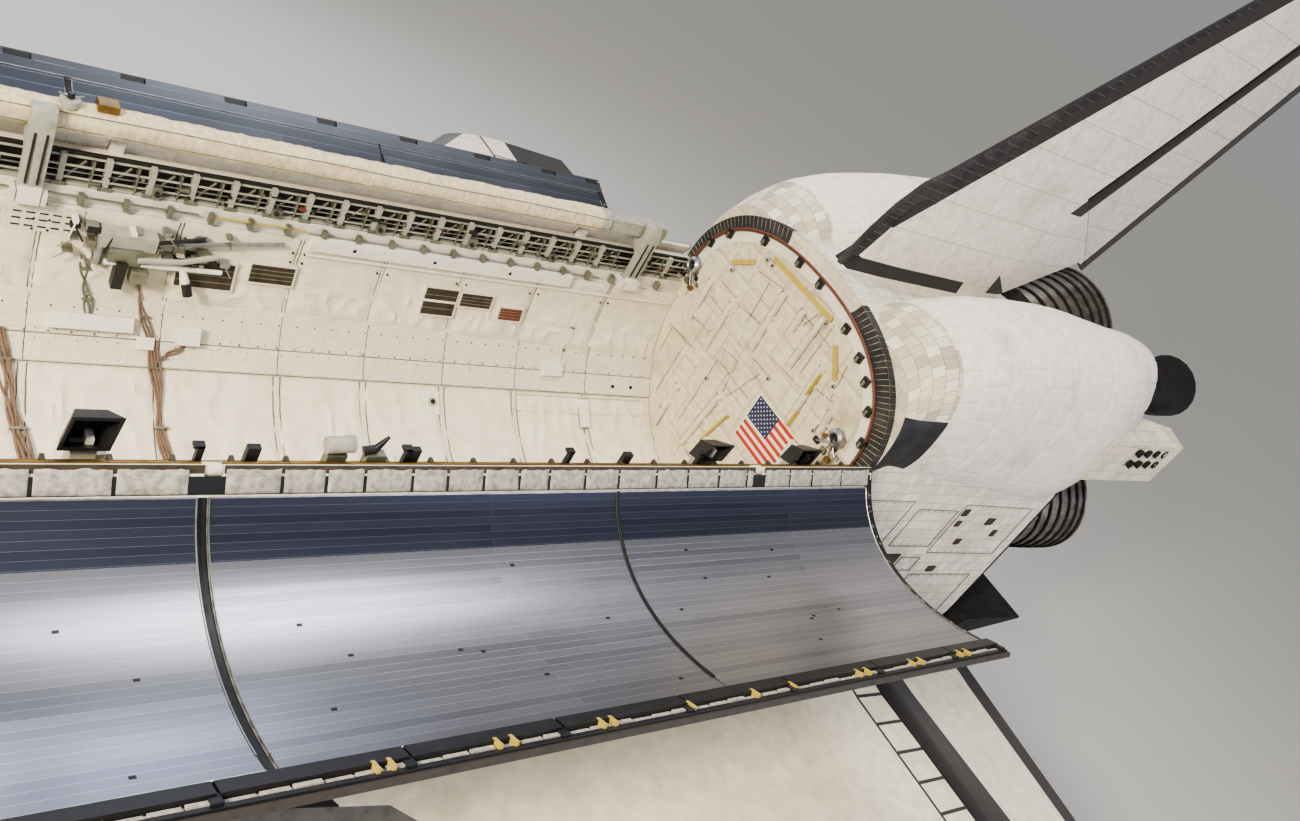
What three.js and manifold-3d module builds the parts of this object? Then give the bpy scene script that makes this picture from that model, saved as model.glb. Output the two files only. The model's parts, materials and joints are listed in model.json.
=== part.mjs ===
// A space shuttle orbiter with its payload bay open, at its real size.
//
// Three frames are used. The vehicle is drawn in stations, as the type is lofted: x is the
// distance aft, y the distance to starboard and z the height, all in inches. The vehicle group
// scales stations to millimetres, pitches the vehicle nose down by PITCH and stands it on its
// wheels. The landing gear legs and wheels are drawn upright in millimetres, in the outer frame:
// +X aft, +Y starboard, +Z up, with the ground at z = 0 under the middle of the vehicle.

import * as THREE from 'three';
import { mergeVertices } from 'three/addons/utils/BufferGeometryUtils.js';
import Module from 'manifold-3d';

const wasm = await Module();
wasm.setup();

const IN = 25.4; // one station inch in millimetres
const GAP = 0.3 / IN; // between pieces that touch
const RUN = 7 / IN; // beside pieces that move

// Stance
const PITCH = THREE.MathUtils.degToRad(3); // parked nose low
const BELLY = 267; // z of the flat belly
const MIDDLE = 969; // x at the middle of the vehicle
const STAND = 2322; // height of the belly plane at MIDDLE above the ground, mm
const SHIFT = 406.5; // moves the vehicle's box onto x = 0, mm

// Fuselage
const HALF = 105; // half width of the mid fuselage
const CHINE = 4; // chamfer of its lower edges
const SHOULDER = 427; // z where the side turns into the top
const CROWN = 75; // height of the top above SHOULDER
const SQUARE = 2.3; // exponent of the top's superellipse
const BULKHEAD_F = [576, 582]; // forward bulkhead
const BULKHEAD_A = [1307, 1312]; // aft bulkhead
const BASE = 1511; // aft end of the aft fuselage
const SHIELD = 6; // thickness of the base heat shield
const BAY_Z = 400; // axis of the payload bay
const BAY_R = 94; // radius of its liner
const SPLIT = 340; // z of the joint between the belly and the side walls
const WALL_TOP = 406; // z of the side walls' top edge
const SILL = 414; // z of the longerons' bearing face
const SILL_IN = 95; // y of the longerons' inner edge
const RIM_IN = 101; // y of the raised outer rim that carries the door hinges
const RIM_TOP = 430.5;

// Payload bay doors and radiators
const DOOR_END = 0.3; // gap at each end of a door
const LIP = 432; // z of a door's lower edge when shut
const DOOR_T = 2.4; // thickness of a door
const RADIATOR_T = 1.4;
const RADIATOR_LUG_R = 0.9;
const HINGE_Y = 105.6;
const HINGE_Z = 434;
const OPEN_PORT = 149.3; // degrees from shut
const OPEN_STARBOARD = 158.8;
const RADIATOR_SEAMS = [590, 761, 941, 1122, 1300];
const RADIATOR_SPAN = [10, 80]; // its edges, degrees round the door

// Wing
const HINGE_X = 1387; // elevon hinge
const ELEVONS = [[121, 312.3], [312.9, 437]];
const LE_DEPTH = 20;

// Fin and rudder
const FIN = { root: 503, tip: 818.7, le: 1278.6, teRoot: 1546.3, teTip: 1702.8, tRoot: 12, tTip: 4.2 };
const RUDDER = { x0: 1496.3, z0: 585, x1: 1639.6, z1: 791, r0: 9.9, r1: 4.9 };

// Engines: where the bell's axis starts, its pitch and its yaw in degrees
const ENGINES = [
  { name: 'main_engine_upper', at: [1445, 0, 443], pitch: 16, yaw: 0 },
  { name: 'main_engine_port', at: [1468.2, -53, 342.6], pitch: 10, yaw: -3.5 },
  { name: 'main_engine_starboard', at: [1468.2, 53, 342.6], pitch: 10, yaw: 3.5 },
];
const BELL_OUT = [[42, 13], [62, 23], [88, 34.5], [110, 40.3], [132, 44], [157, 46.8]];
const BELL_IN = [[157, 45.4], [132, 42.4], [110, 38.6], [88, 32.6], [62, 21], [46, 9]];

// Landing gear, mm
const MAIN = { x: 1172.3, y: 3454, r: 565, w: 406, rim: 270, leg: 130, eye: 150, bore: 72.8, axle: 72 };
const NOSE_GEAR = { x: 377.7, y: 0, r: 406, w: 224, rim: 190, leg: 92, eye: 96, bore: 46.7, axle: 46 };
const AXLE_SIDES = 32;
const NOSE_WELL = { x: [312, 392], y: 22, top: 318 };
const MAIN_WELL = { x: [1045, 1185], y: [107, 168], top: 305 };
const NOSE_DOOR_LOW = 243.4;
const MAIN_DOOR_LOW = 202.3;

// Materials
const paint = (color, roughness, metalness = 0) =>
  new THREE.MeshStandardMaterial({ color, roughness, metalness });
const blanket = paint(0xe4e0d6, 0.9);
const whiteTile = paint(0xe9e6dd, 0.85);
const blackTile = paint(0x1d1e21, 0.6);
const greyCarbon = paint(0x5d5f60, 0.7);
const liner = paint(0xd9d5c9, 0.9);
const silver = paint(0xb9bfcb, 0.3, 0.6);
const metal = paint(0x9a9c9f, 0.4, 0.8);
const darkMetal = paint(0x4a4a4c, 0.5, 0.7);
const glass = paint(0x11161b, 0.08);
const rubber = paint(0x1a1a1a, 0.85);
const cockpitGrey = paint(0x6d7478, 0.7);

/** A closed solid from a geometry, its faces turned outwards. */
function solid(geometry) {
  const bare = new THREE.BufferGeometry();
  bare.setAttribute('position', geometry.getAttribute('position').clone());
  if (geometry.index) bare.setIndex(geometry.index.clone());
  const merged = mergeVertices(bare, 1e-4);
  const p = merged.getAttribute('position').array;
  const index = merged.index.array;
  let volume = 0;
  const tris = [];
  for (let i = 0; i < index.length; i += 3) {
    const [a, b, c] = [index[i], index[i + 1], index[i + 2]];
    if (a === b || b === c || a === c) continue;
    tris.push(a, b, c);
    const [A, B, C] = [a, b, c].map((k) => new THREE.Vector3(p[3 * k], p[3 * k + 1], p[3 * k + 2]));
    volume += A.dot(B.cross(C));
  }
  if (volume < 0) tris.reverse();
  const vertProperties = new Float32Array(p);
  return new wasm.Manifold(new wasm.Mesh({ numProp: 3, vertProperties, triVerts: new Uint32Array(tris) }));
}

/** The geometry of a solid. */
function surface(body) {
  const mesh = body.getMesh();
  const geometry = new THREE.BufferGeometry();
  geometry.setAttribute('position', new THREE.BufferAttribute(new Float32Array(mesh.vertProperties), 3));
  geometry.setIndex(new THREE.BufferAttribute(new Uint32Array(mesh.triVerts), 1));
  return geometry;
}

const join = (...bodies) => bodies.reduce((a, b) => a.add(b));
const cut = (body, ...tools) => tools.reduce((a, b) => a.subtract(b), body);
const common = (a, b) => a.intersect(b);
const moved = (body, x, y, z) => solid(surface(body).translate(x, y, z));
const mirrored = (body) => solid(surface(body).scale(1, -1, 1));

/** A loft through rings of points; its ends are closed by a fan, or by a strip across the ring. */
function loft(rings, ends = 'fan') {
  const n = rings[0].length;
  const points = rings.flat();
  const index = [];
  for (let i = 0; i < rings.length - 1; i += 1) {
    for (let j = 0; j < n; j += 1) {
      const a = i * n + j;
      const b = i * n + ((j + 1) % n);
      index.push(a, b, b + n, a, b + n, a + n);
    }
  }
  const last = (rings.length - 1) * n;
  if (ends === 'fan') {
    for (const [start, turn] of [[0, true], [last, false]]) {
      const ring = points.slice(start, start + n);
      points.push([0, 1, 2].map((k) => ring.reduce((sum, p) => sum + p[k], 0) / n));
      const centre = points.length - 1;
      for (let j = 0; j < n; j += 1) {
        const a = start + j;
        const b = start + ((j + 1) % n);
        index.push(...(turn ? [centre, b, a] : [centre, a, b]));
      }
    }
  } else {
    for (const [start, turn] of [[0, true], [last, false]]) {
      for (let j = 0; j < n / 2 - 1; j += 1) {
        const quad = [start + j, start + j + 1, start + n - 2 - j, start + n - 1 - j];
        if (turn) quad.reverse();
        index.push(quad[0], quad[1], quad[2], quad[0], quad[2], quad[3]);
      }
    }
  }
  const geometry = new THREE.BufferGeometry();
  geometry.setAttribute('position', new THREE.Float32BufferAttribute(points.flat(), 3));
  geometry.setIndex(index);
  return solid(geometry);
}

/** A box from its low and high corner. */
function box(x, y, z) {
  const geometry = new THREE.BoxGeometry(x[1] - x[0], y[1] - y[0], z[1] - z[0]);
  return solid(geometry.translate((x[0] + x[1]) / 2, (y[0] + y[1]) / 2, (z[0] + z[1]) / 2));
}

/** An outline in (y, z) drawn along x. */
const alongX = (outline, x0, x1) => extruded(outline, x0, x1, ([u, v], w) => [w, u, v]);
/** An outline in (x, z) drawn along y. */
const alongY = (outline, y0, y1) => extruded(outline, y0, y1, ([u, v], w) => [u, w, v]);
/** An outline in (x, y) drawn along z. */
const alongZ = (outline, z0, z1) => extruded(outline, z0, z1, ([u, v], w) => [u, v, w]);

function extruded(outline, w0, w1, at) {
  const shape = new THREE.Shape(outline.map(([u, v]) => new THREE.Vector2(u, v)));
  const geometry = new THREE.ExtrudeGeometry(shape, { depth: w1 - w0, bevelEnabled: false });
  const p = geometry.getAttribute('position');
  for (let i = 0; i < p.count; i += 1) {
    p.setXYZ(i, ...at([p.getX(i), p.getY(i)], p.getZ(i) + w0));
  }
  return solid(geometry);
}

/** A round bar between two points, its end radii r0 and r1. */
function bar(a, b, r0, r1 = r0, sides = 12) {
  const from = new THREE.Vector3(...a);
  const to = new THREE.Vector3(...b);
  const geometry = new THREE.CylinderGeometry(r1, r0, from.distanceTo(to), sides);
  const way = new THREE.Vector3().subVectors(to, from).normalize();
  geometry.applyQuaternion(new THREE.Quaternion().setFromUnitVectors(new THREE.Vector3(0, 1, 0), way));
  geometry.translate(...from.add(to).multiplyScalar(0.5).toArray());
  return solid(geometry);
}

/** A turned body: profile rows are [distance along the axis, radius]. */
function turned(profile, at, way, sides = 24) {
  const points = profile.map(([s, r]) => new THREE.Vector2(r, s));
  const geometry = new THREE.LatheGeometry(points, sides);
  const axis = new THREE.Vector3(...way).normalize();
  geometry.applyQuaternion(new THREE.Quaternion().setFromUnitVectors(new THREE.Vector3(0, 1, 0), axis));
  geometry.translate(...at);
  return solid(geometry);
}

/** A superellipse section of a body: half width w, bottom b, widest height m, top t. */
function section({ x, w, b, m, t, up, lo }, grow = 0, n = 24) {
  const ring = [];
  for (let i = 0; i < n; i += 1) {
    const angle = (2 * Math.PI * i) / n;
    const [c, s] = [Math.cos(angle), Math.sin(angle)];
    const power = 2 / (s >= 0 ? up : lo);
    const y = Math.sign(c) * Math.abs(c) ** power * (w + grow);
    const high = s >= 0 ? t + grow - m : m - b + grow;
    const z = m + Math.sign(s) * Math.abs(s) ** power * high;
    ring.push([x, Math.abs(c) < 1e-9 ? 0 : y, Math.abs(s) < 1e-9 ? m : z]);
  }
  return ring;
}

const hull = (table, grow = 0) => loft(table.map((row) => section(row, grow)));

/** A point of the fuselage's top line; t runs from 0 at the starboard shoulder to 90 at the crown. */
function crown(t, inset = 0) {
  const a = THREE.MathUtils.degToRad(t);
  const y = (HALF - inset) * Math.max(Math.cos(a), 0) ** (2 / SQUARE);
  return [y, SHOULDER + (CROWN - inset) * Math.sin(a) ** (2 / SQUARE)];
}

/** A point of the bay's round liner; t is its angle below the horizontal. */
function bay(t) {
  const a = THREE.MathUtils.degToRad(t);
  return [BAY_R * Math.cos(a), BAY_Z - BAY_R * Math.sin(a)];
}

const flip = (line) => line.map(([y, z]) => [-y, z]);

/** The full outline of the mid fuselage with its doors shut. */
function outline(inset = 0) {
  const half = [[0, BELLY + inset], [HALF - CHINE, BELLY + inset], [HALF - inset, BELLY + CHINE]];
  for (let t = 0; t <= 80; t += 10) half.push(crown(t, inset));
  const left = flip(half.slice(1)).reverse();
  return [...half, crown(90, inset), ...left];
}

// The scene graph
const root = new THREE.Group();
const vehicle = new THREE.Group();
vehicle.position.set(SHIFT, 0, STAND);
vehicle.rotation.y = -PITCH;
vehicle.scale.setScalar(IN);
const stations = new THREE.Group();
stations.position.set(-MIDDLE, 0, -BELLY);
vehicle.add(stations);
root.add(vehicle);

function add(name, body, material, parent = stations) {
  const mesh = new THREE.Mesh(surface(body), material);
  mesh.name = name;
  parent.add(mesh);
}

// Forward fuselage
const NOSE = [
  { x: 236, w: 3, b: 335, m: 338, t: 342, up: 2, lo: 2 },
  { x: 241, w: 15, b: 325, m: 338, t: 354, up: 2, lo: 2.2 },
  { x: 260, w: 33, b: 303, m: 334, t: 375, up: 2, lo: 2.4 },
  { x: 300, w: 56, b: 286, m: 328, t: 398, up: 2, lo: 3 },
  { x: 350, w: 73, b: 276, m: 325, t: 420, up: 2, lo: 3.6 },
  { x: 405, w: 87, b: 271, m: 326, t: 444, up: 2, lo: 4.5 },
  { x: 447, w: 95, b: 269, m: 334, t: 483, up: 2.1, lo: 6 },
  { x: 500, w: 101, b: 268, m: 360, t: 499, up: 2.15, lo: 8 },
  { x: 576, w: 105, b: 267, m: 427, t: 502, up: 2.2, lo: 12 },
];
const CABIN = [
  { x: 412, w: 74, b: 300, m: 335, t: 436, up: 2, lo: 6 },
  { x: 450, w: 86, b: 300, m: 340, t: 474, up: 2.1, lo: 6 },
  { x: 500, w: 93, b: 300, m: 362, t: 491, up: 2.15, lo: 8 },
  { x: 568, w: 97, b: 300, m: 420, t: 494, up: 2.2, lo: 8 },
];
const WINDSHIELD = { x: [400, 464], y: 110, z: [451, 477] };
const OVERHEAD = { x: [498, 522], y: 30 };
const HATCH = { x: 492, z: 350, r: 20 };
const HATCH_HINGE = { y: -100.9, z: 327.6, r: 1.1 };
const { y: hy, z: hz, r: hr } = HATCH_HINGE;

const nose = hull(NOSE);
const noseFront = box([200, 260], [-60, 60], [250, 450]);
add('nose_cap', common(nose, noseFront), greyCarbon);
const cabin = hull(CABIN);
const windshieldHole = box(WINDSHIELD.x, [-WINDSHIELD.y, WINDSHIELD.y], WINDSHIELD.z);
const overheadHole = box(OVERHEAD.x, [-OVERHEAD.y, OVERHEAD.y], [470, 520]);
const hatchAt = [HATCH.x, -130, HATCH.z];
const hatchTo = [HATCH.x, -60, HATCH.z];
const hatchHole = bar(hatchAt, hatchTo, HATCH.r + RUN, HATCH.r + RUN, 20);
const noseWell = box(NOSE_WELL.x, [-NOSE_WELL.y, NOSE_WELL.y], [240, NOSE_WELL.top]);
const cabinDoorway = box([560, 590], [-17, 17], [305, 350]);
const hatchLugs = [[-7, -4 - GAP], [4 + GAP, 7]].map(([from, to]) => {
  const x = [HATCH.x + from, HATCH.x + to];
  const { y, z, r } = HATCH_HINGE;
  return join(bar([x[0], y, z], [x[1], y, z], r, r), box(x, [y - r * 0.6, y + 4], [z - 4, z]));
});
const hatchSlot = box(
  [HATCH.x - 4 - GAP, HATCH.x + 4 + GAP],
  [hy - 3, hy + 4 + RUN],
  [hz - hr - RUN, HATCH.z - HATCH.r + 2],
);
add(
  'forward_fuselage',
  cut(
    join(cut(nose, hatchSlot), ...hatchLugs),
    box([200, 260 + GAP], [-60, 60], [250, 450]),
    box([576 - GAP, 600], [-120, 120], [250, 520]),
    cabin,
    windshieldHole,
    overheadHole,
    hatchHole,
    noseWell,
    cabinDoorway,
  ),
  whiteTile,
);
const pane = cut(hull(NOSE, -0.6), hull(NOSE, -2.6));
const windshieldBox = box(
  [380, WINDSHIELD.x[1] - GAP],
  [-WINDSHIELD.y, WINDSHIELD.y],
  [WINDSHIELD.z[0] + GAP, WINDSHIELD.z[1] - GAP],
);
add('windshield', common(pane, windshieldBox), glass);
const overheadBox = box(
  [OVERHEAD.x[0] + GAP, OVERHEAD.x[1] - GAP],
  [-OVERHEAD.y + GAP, OVERHEAD.y - GAP],
  [480, 520],
);
add('overhead_windows', common(pane, overheadBox), glass);
const hatchTaper = 0.2; // radius lost per inch inwards, so that the plug swings out past its frame
const hatchSkin = -100; // y where the hatch has its full radius
const hatchDisc = bar(
  hatchAt,
  hatchTo,
  HATCH.r + (hatchSkin - hatchAt[1]) * hatchTaper,
  HATCH.r + (hatchSkin - hatchTo[1]) * hatchTaper,
  20,
);
const hatchPlug = cut(common(hull(NOSE, -0.4), hatchDisc), hull(CABIN, 1.2));
const hatchTab = join(
  bar([HATCH.x - 4, hy, hz], [HATCH.x + 4, hy, hz], hr, hr),
  box([HATCH.x - 4, HATCH.x + 4], [hy - hr * 0.6, hy + 4], [hz, hz + 5]),
);
add('side_hatch', join(hatchPlug, hatchTab), whiteTile);
const deck = box([440, 566], [-100, 100], [386, 390]);
const seats = [];
for (const y of [-26, 26]) {
  seats.push(box([462, 482], [y - 9, y + 9], [388, 406]));
  seats.push(box([478, 485], [y - 9, y + 9], [388, 432]));
}
const panel = box([442, 452], [-62, 62], [388, 430]);
const aftPanel = box([548, 562], [-50, 50], [388, 430]);
const deckRoom = hull(CABIN, -GAP);
add('flight_deck', common(deckRoom, join(deck, panel, aftPanel, ...seats)), cockpitGrey);

// Forward bulkhead, with the hatchway and the two windows that look into the bay
const bulkheadHoles = [
  box([560, 600], [-26, -8], [452, 474]),
  box([560, 600], [8, 26], [452, 474]),
  bar([560, 0, 345], [600, 0, 345], 18, 18, 20),
];
const forwardBulkhead = alongX(outline(), BULKHEAD_F[0], BULKHEAD_F[1]);
add('forward_bulkhead', cut(forwardBulkhead, ...bulkheadHoles), liner);

// Mid fuselage
const midX = [BULKHEAD_F[1] + GAP, BULKHEAD_A[0] - GAP];
const splitAngle = THREE.MathUtils.radToDeg(Math.asin((BAY_Z - SPLIT) / BAY_R));
const troughSteps = 9;
const trough = [];
for (let i = 0; i <= troughSteps; i += 1) {
  trough.push(bay(splitAngle + ((180 - 2 * splitAngle) * i) / troughSteps));
}
const bellyTop = [[HALF, SPLIT], ...trough, [-HALF, SPLIT]];
const bellyLow = bellyTop.map(([y], i) => {
  if (i === 0) return [HALF, BELLY + CHINE];
  if (i === bellyTop.length - 1) return [-HALF, BELLY + CHINE];
  if (i === 1) return [HALF - CHINE, BELLY];
  if (i === bellyTop.length - 2) return [CHINE - HALF, BELLY];
  return [y, BELLY];
});
const prism = (ring, x, ends) => loft(x.map((at) => ring.map(([y, z]) => [at, y, z])), ends);
add('mid_fuselage', prism([...bellyTop, ...bellyLow.reverse()], midX, 'strip'), whiteTile);

const wallAngles = [splitAngle, 26, 13, 0, -3.66];
const wallIn = wallAngles.map((t) => bay(t));
wallIn[0] = [wallIn[0][0], SPLIT + GAP];
wallIn[4] = [wallIn[4][0], WALL_TOP];
const wallOut = wallIn.map(([, z]) => [HALF, z]);
const wall = prism([...wallOut, ...wallIn.reverse()], midX, 'strip');
add('starboard_side_wall', wall, liner);
add('port_side_wall', mirrored(wall), liner);

const longeron = alongX(
  [
    [SILL_IN, WALL_TOP + GAP],
    [HALF, WALL_TOP + GAP],
    [HALF, RIM_TOP],
    [RIM_IN, RIM_TOP],
    [RIM_IN, SILL],
    [SILL_IN, SILL],
  ],
  ...midX,
);
const DOOR_LUGS = [640, 945, 1215]; // x of the hinges that carry each door
const LUG = { half: 3, r: 2.6 };
const doorLugs = DOOR_LUGS.map((x) =>
  join(
    bar([x - LUG.half, HINGE_Y, HINGE_Z], [x + LUG.half, HINGE_Y, HINGE_Z], LUG.r, LUG.r),
    box([x - LUG.half, x + LUG.half], [HINGE_Y - 2.4, HINGE_Y + 1], [RIM_TOP - 2, HINGE_Z]),
  ),
);
const sill = join(longeron, ...doorLugs);
const PORT_PEDESTALS = [679.5, 911, 1196, 1261];
const portPedestals = PORT_PEDESTALS.map((x) =>
  join(
    box([x - 6, x + 6], [-99, -84], [WALL_TOP + 1, SILL + 1]),
    box([x - 4, x + 4], [-93, -85], [SILL, SILL + 14]),
    box([x - 4, x - 1.5], [-94, -84], [SILL + 13, SILL + 22]),
  ),
);
add('port_longeron', join(mirrored(sill), ...portPedestals), metal);

// Boom: it lies rolled out over the starboard sill; the pivots are the ears of the longeron.
const BOOM = { x: [633, 1272], y: 102.6, z: 445.8, r: 8, pivotY: 91.2, pivotZ: 407.3, pivotR: 1.5 };
const BOOM_PEDESTALS = [
  { name: 'boom_pedestal_forward', x: 679.5 },
  { name: 'boom_pedestal_middle', x: 911 },
  { name: 'boom_pedestal_aft', x: 1257 },
];
const PEDESTAL_HALF = 5;
const ears = [];
for (const { x } of BOOM_PEDESTALS) {
  for (const side of [-1, 1]) {
    const near = x + side * (PEDESTAL_HALF + RUN);
    const far = near + side * 2;
    ears.push(box([Math.min(near, far), Math.max(near, far)], [86.5, SILL_IN + 1], [WALL_TOP + 0.5, SILL - 1]));
    const face = x + side * (PEDESTAL_HALF + GAP);
    const pivot = [BOOM.pivotY, BOOM.pivotZ + 0.8];
    ears.push(bar([face, ...pivot], [far, ...pivot], BOOM.pivotR, BOOM.pivotR));
  }
}
add('starboard_longeron', join(sill, ...ears), metal);
const boomBody = bar([BOOM.x[0], BOOM.y, BOOM.z], [BOOM.x[1], BOOM.y, BOOM.z], BOOM.r, BOOM.r, 16);
const boomHead = box([BOOM.x[0] - 12, BOOM.x[0] + 2], [BOOM.y - 6, BOOM.y + 6], [BOOM.z - 6, BOOM.z + 6]);
add('inspection_boom', join(boomBody, boomHead), blanket);
const boomSeat = bar(
  [600, BOOM.y, BOOM.z],
  [1290, BOOM.y, BOOM.z],
  BOOM.r + GAP,
  BOOM.r + GAP,
  16,
);
const pedestalOutline = [
  [89.2, 405.4],
  [93, 405.4],
  [93.4, 431],
  [99.5, 435.5],
  [101, 440],
  [99, 452.5],
  [92, 453.5],
  [88.6, 446],
];
for (const { name, x } of BOOM_PEDESTALS) {
  add(name, cut(alongX(pedestalOutline, x - PEDESTAL_HALF, x + PEDESTAL_HALF), boomSeat), metal);
}

// Payload bay doors, drawn shut and then swung open about their hinge lines
const doorX = [BULKHEAD_F[1] + DOOR_END, BULKHEAD_A[0] - DOOR_END];

/** A strip of the door's section between two insets and two angles. */
function shell(from, to, t0, t1, x, steps, lip) {
  const out = [];
  const inner = [];
  for (let i = 0; i <= steps; i += 1) {
    const t = t0 + ((t1 - t0) * i) / steps;
    out.push(crown(t, from));
    inner.push(crown(t, to));
  }
  if (lip) {
    out[0] = [HALF - from, LIP];
    inner[0] = [HALF - to, LIP];
    out[out.length - 1] = [RUN / 2, SHOULDER + CROWN - from];
    inner[inner.length - 1] = [RUN / 2, SHOULDER + CROWN - to];
  }
  return prism([...out, ...inner.reverse()], x, 'strip');
}

const swing = (body, degrees, side) => {
  const geometry = surface(body);
  geometry.translate(0, -side * HINGE_Y, -HINGE_Z);
  geometry.rotateX(THREE.MathUtils.degToRad(-side * degrees));
  return solid(geometry.translate(0, side * HINGE_Y, HINGE_Z));
};
const notches = DOOR_LUGS.map((x) =>
  box([x - LUG.half - GAP, x + LUG.half + GAP], [95, 110], [LIP - 2, HINGE_Z + LUG.r + 3]),
);
const radiatorMid = DOOR_T + RUN + RADIATOR_T / 2;
const radiatorHinge = crown(RADIATOR_SPAN[0], radiatorMid);
const radiatorEnds = [
  [RADIATOR_SEAMS[0] - 2.5, RADIATOR_SEAMS[0] - GAP],
  [RADIATOR_SEAMS[2] + GAP, RADIATOR_SEAMS[2] + 1 - GAP],
];
const radiatorLugs = radiatorEnds.map(([from, to]) => {
  const [y, z] = radiatorHinge;
  return join(
    bar([from, y, z], [to, y, z], RADIATOR_LUG_R, RADIATOR_LUG_R, 10),
    box([from, to], [y, y + 1.6], [z - 0.8, z + 0.8]),
  );
});
const doorShut = join(cut(shell(0, DOOR_T, 0, 90, doorX, 9, true), ...notches), ...radiatorLugs);
const panels = [
  { name: 'forward_radiator', x: [RADIATOR_SEAMS[0], RADIATOR_SEAMS[2]], gap: RUN },
  { name: 'aft_radiator', x: [RADIATOR_SEAMS[2] + 1, RADIATOR_SEAMS[4]], gap: GAP },
];
for (const [label, side, open] of [['port', -1, OPEN_PORT], ['starboard', 1, OPEN_STARBOARD]]) {
  const turn = (body) => swing(side < 0 ? mirrored(body) : body, open, side);
  add(`${label}_door`, turn(doorShut), whiteTile);
  for (const { name, x, gap } of panels) {
    const [t0, t1] = RADIATOR_SPAN;
    const sheet = shell(DOOR_T + gap, DOOR_T + gap + RADIATOR_T, t0, t1, x, 7, false);
    add(`${label}_${name}`, turn(sheet), silver);
  }
}

// Aft bulkhead and aft fuselage
add('aft_bulkhead', alongX(outline(), BULKHEAD_A[0], BULKHEAD_A[1]), blanket);
const AFT = [
  { x: BULKHEAD_A[1] + GAP, w: 105, b: 267, m: 427, t: 502, up: 2.2, lo: 14 },
  { x: 1400, w: 109, b: 267, m: 425, t: 501, up: 2.3, lo: 14 },
  { x: BASE, w: 118, b: 267, m: 420, t: 499, up: 2.4, lo: 12 },
];
const aftHull = hull(AFT);
const aftTool = loft([
  section({ ...AFT[0], x: AFT[0].x - 3 }, GAP),
  ...AFT.map((row) => section(row, GAP)),
  section({ ...AFT[2], x: AFT[2].x + 3 }, GAP),
]);
const axisOf = ({ pitch, yaw }) => {
  const p = THREE.MathUtils.degToRad(pitch);
  const q = THREE.MathUtils.degToRad(yaw);
  return [Math.cos(p) * Math.cos(q), Math.cos(p) * Math.sin(q), Math.sin(p)];
};
const onAxis = (engine, s) => engine.at.map((v, i) => v + axisOf(engine)[i] * s);
const bellTool = (engine) => {
  const profile = [[42 - GAP, 0], ...BELL_OUT.map(([s, r]) => [s, r + GAP]), [160, 0]];
  profile[1] = [42 - GAP, BELL_OUT[0][1] + GAP];
  return turned(profile, engine.at, axisOf(engine));
};
const bells = ENGINES.map(bellTool);
const flapShelf = box([1490, 1519], [-100, 100], [274, 300]);
const FLAP = { x: 1532, z: 287, r: 9.5, te: 1613, half: 126, brackets: [-70, 70], slot: 5 };
const flapBrackets = FLAP.brackets.map((y) =>
  join(
    box([1515, FLAP.x + 3], [y - FLAP.slot + RUN, y + FLAP.slot - RUN], [FLAP.z - 3, FLAP.z + 3]),
    bar([FLAP.x, y - FLAP.slot + GAP, FLAP.z], [FLAP.x, y + FLAP.slot - GAP, FLAP.z], 2.4),
  ),
);
add('aft_fuselage', cut(join(aftHull, flapShelf, ...flapBrackets), ...bells), whiteTile);
const shieldRing = { ...AFT[2], w: AFT[2].w - 1, b: AFT[2].b + 36, t: AFT[2].t - 1 };
const plate = hull([{ ...shieldRing, x: BASE + GAP }, { ...shieldRing, x: BASE + SHIELD }]);
const domes = ENGINES.map((engine) => {
  const reach = (BASE + SHIELD + 12 - engine.at[0]) / axisOf(engine)[0];
  const profile = [[reach - 24, 0], [reach - 24, 47], [reach - 4, 45], [reach + 3, 40], [reach + 3, 0]];
  return cut(
    turned(profile, engine.at, axisOf(engine)),
    box([1300, BASE + GAP], [-200, 200], [200, 600]),
  );
});
add('base_heat_shield', cut(join(plate, ...domes), ...bells), blackTile);
for (const engine of ENGINES) {
  const profile = [[42, 0], ...BELL_OUT, ...BELL_IN, [46, 0]];
  add(engine.name, turned(profile, engine.at, axisOf(engine)), metal);
}

// Engine pods on the shoulders of the aft fuselage
const POD = [
  { x: 1312 + GAP, y: 61.5, z: 445, ry: 43.5, rz: 47 },
  { x: 1326, y: 63, z: 459, ry: 44, rz: 47 },
  { x: 1352, y: 66.5, z: 467, ry: 46.5, rz: 52 },
  { x: 1392, y: 70, z: 470, ry: 49, rz: 59 },
  { x: 1450, y: 77, z: 471, ry: 48, rz: 65 },
  { x: 1500, y: 87.5, z: 471, ry: 39.5, rz: 66 },
  { x: 1534, y: 85.5, z: 472, ry: 33.5, rz: 61 },
  { x: 1556, y: 80, z: 473, ry: 24.5, rz: 48 },
];
const podRing = ({ x, y, z, ry, rz }) => {
  const row = { x, w: ry, b: z - rz, m: z, t: z + rz, up: 2.3, lo: 2.6 };
  return section(row, 0, 20).map(([px, py, pz]) => [px, py + y, pz]);
};
const stinger = loft([
  [[1500, 104, 444], [1500, 126, 446], [1500, 128, 482], [1500, 104, 494]],
  [[1590, 117, 450], [1590, 132, 450], [1590, 133, 484], [1590, 117, 488]],
]);
const OMS = { y: 88, from: [1556, 494], to: [1605, 504], r0: 10, r1: 22.5 };
const podRaw = join(loft(POD.map(podRing)), stinger);
const plateTool = hull([
  { ...shieldRing, x: BASE - 1, w: shieldRing.w + GAP, t: shieldRing.t + GAP },
  { ...shieldRing, x: BASE + SHIELD + GAP, w: shieldRing.w + GAP, t: shieldRing.t + GAP },
]);
add('starboard_pod', cut(podRaw, aftTool, plateTool), blanket);
add('port_pod', cut(mirrored(podRaw), aftTool, plateTool), blanket);
const omsWay = [OMS.to[0] - OMS.from[0], 0, OMS.to[1] - OMS.from[1]];
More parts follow.
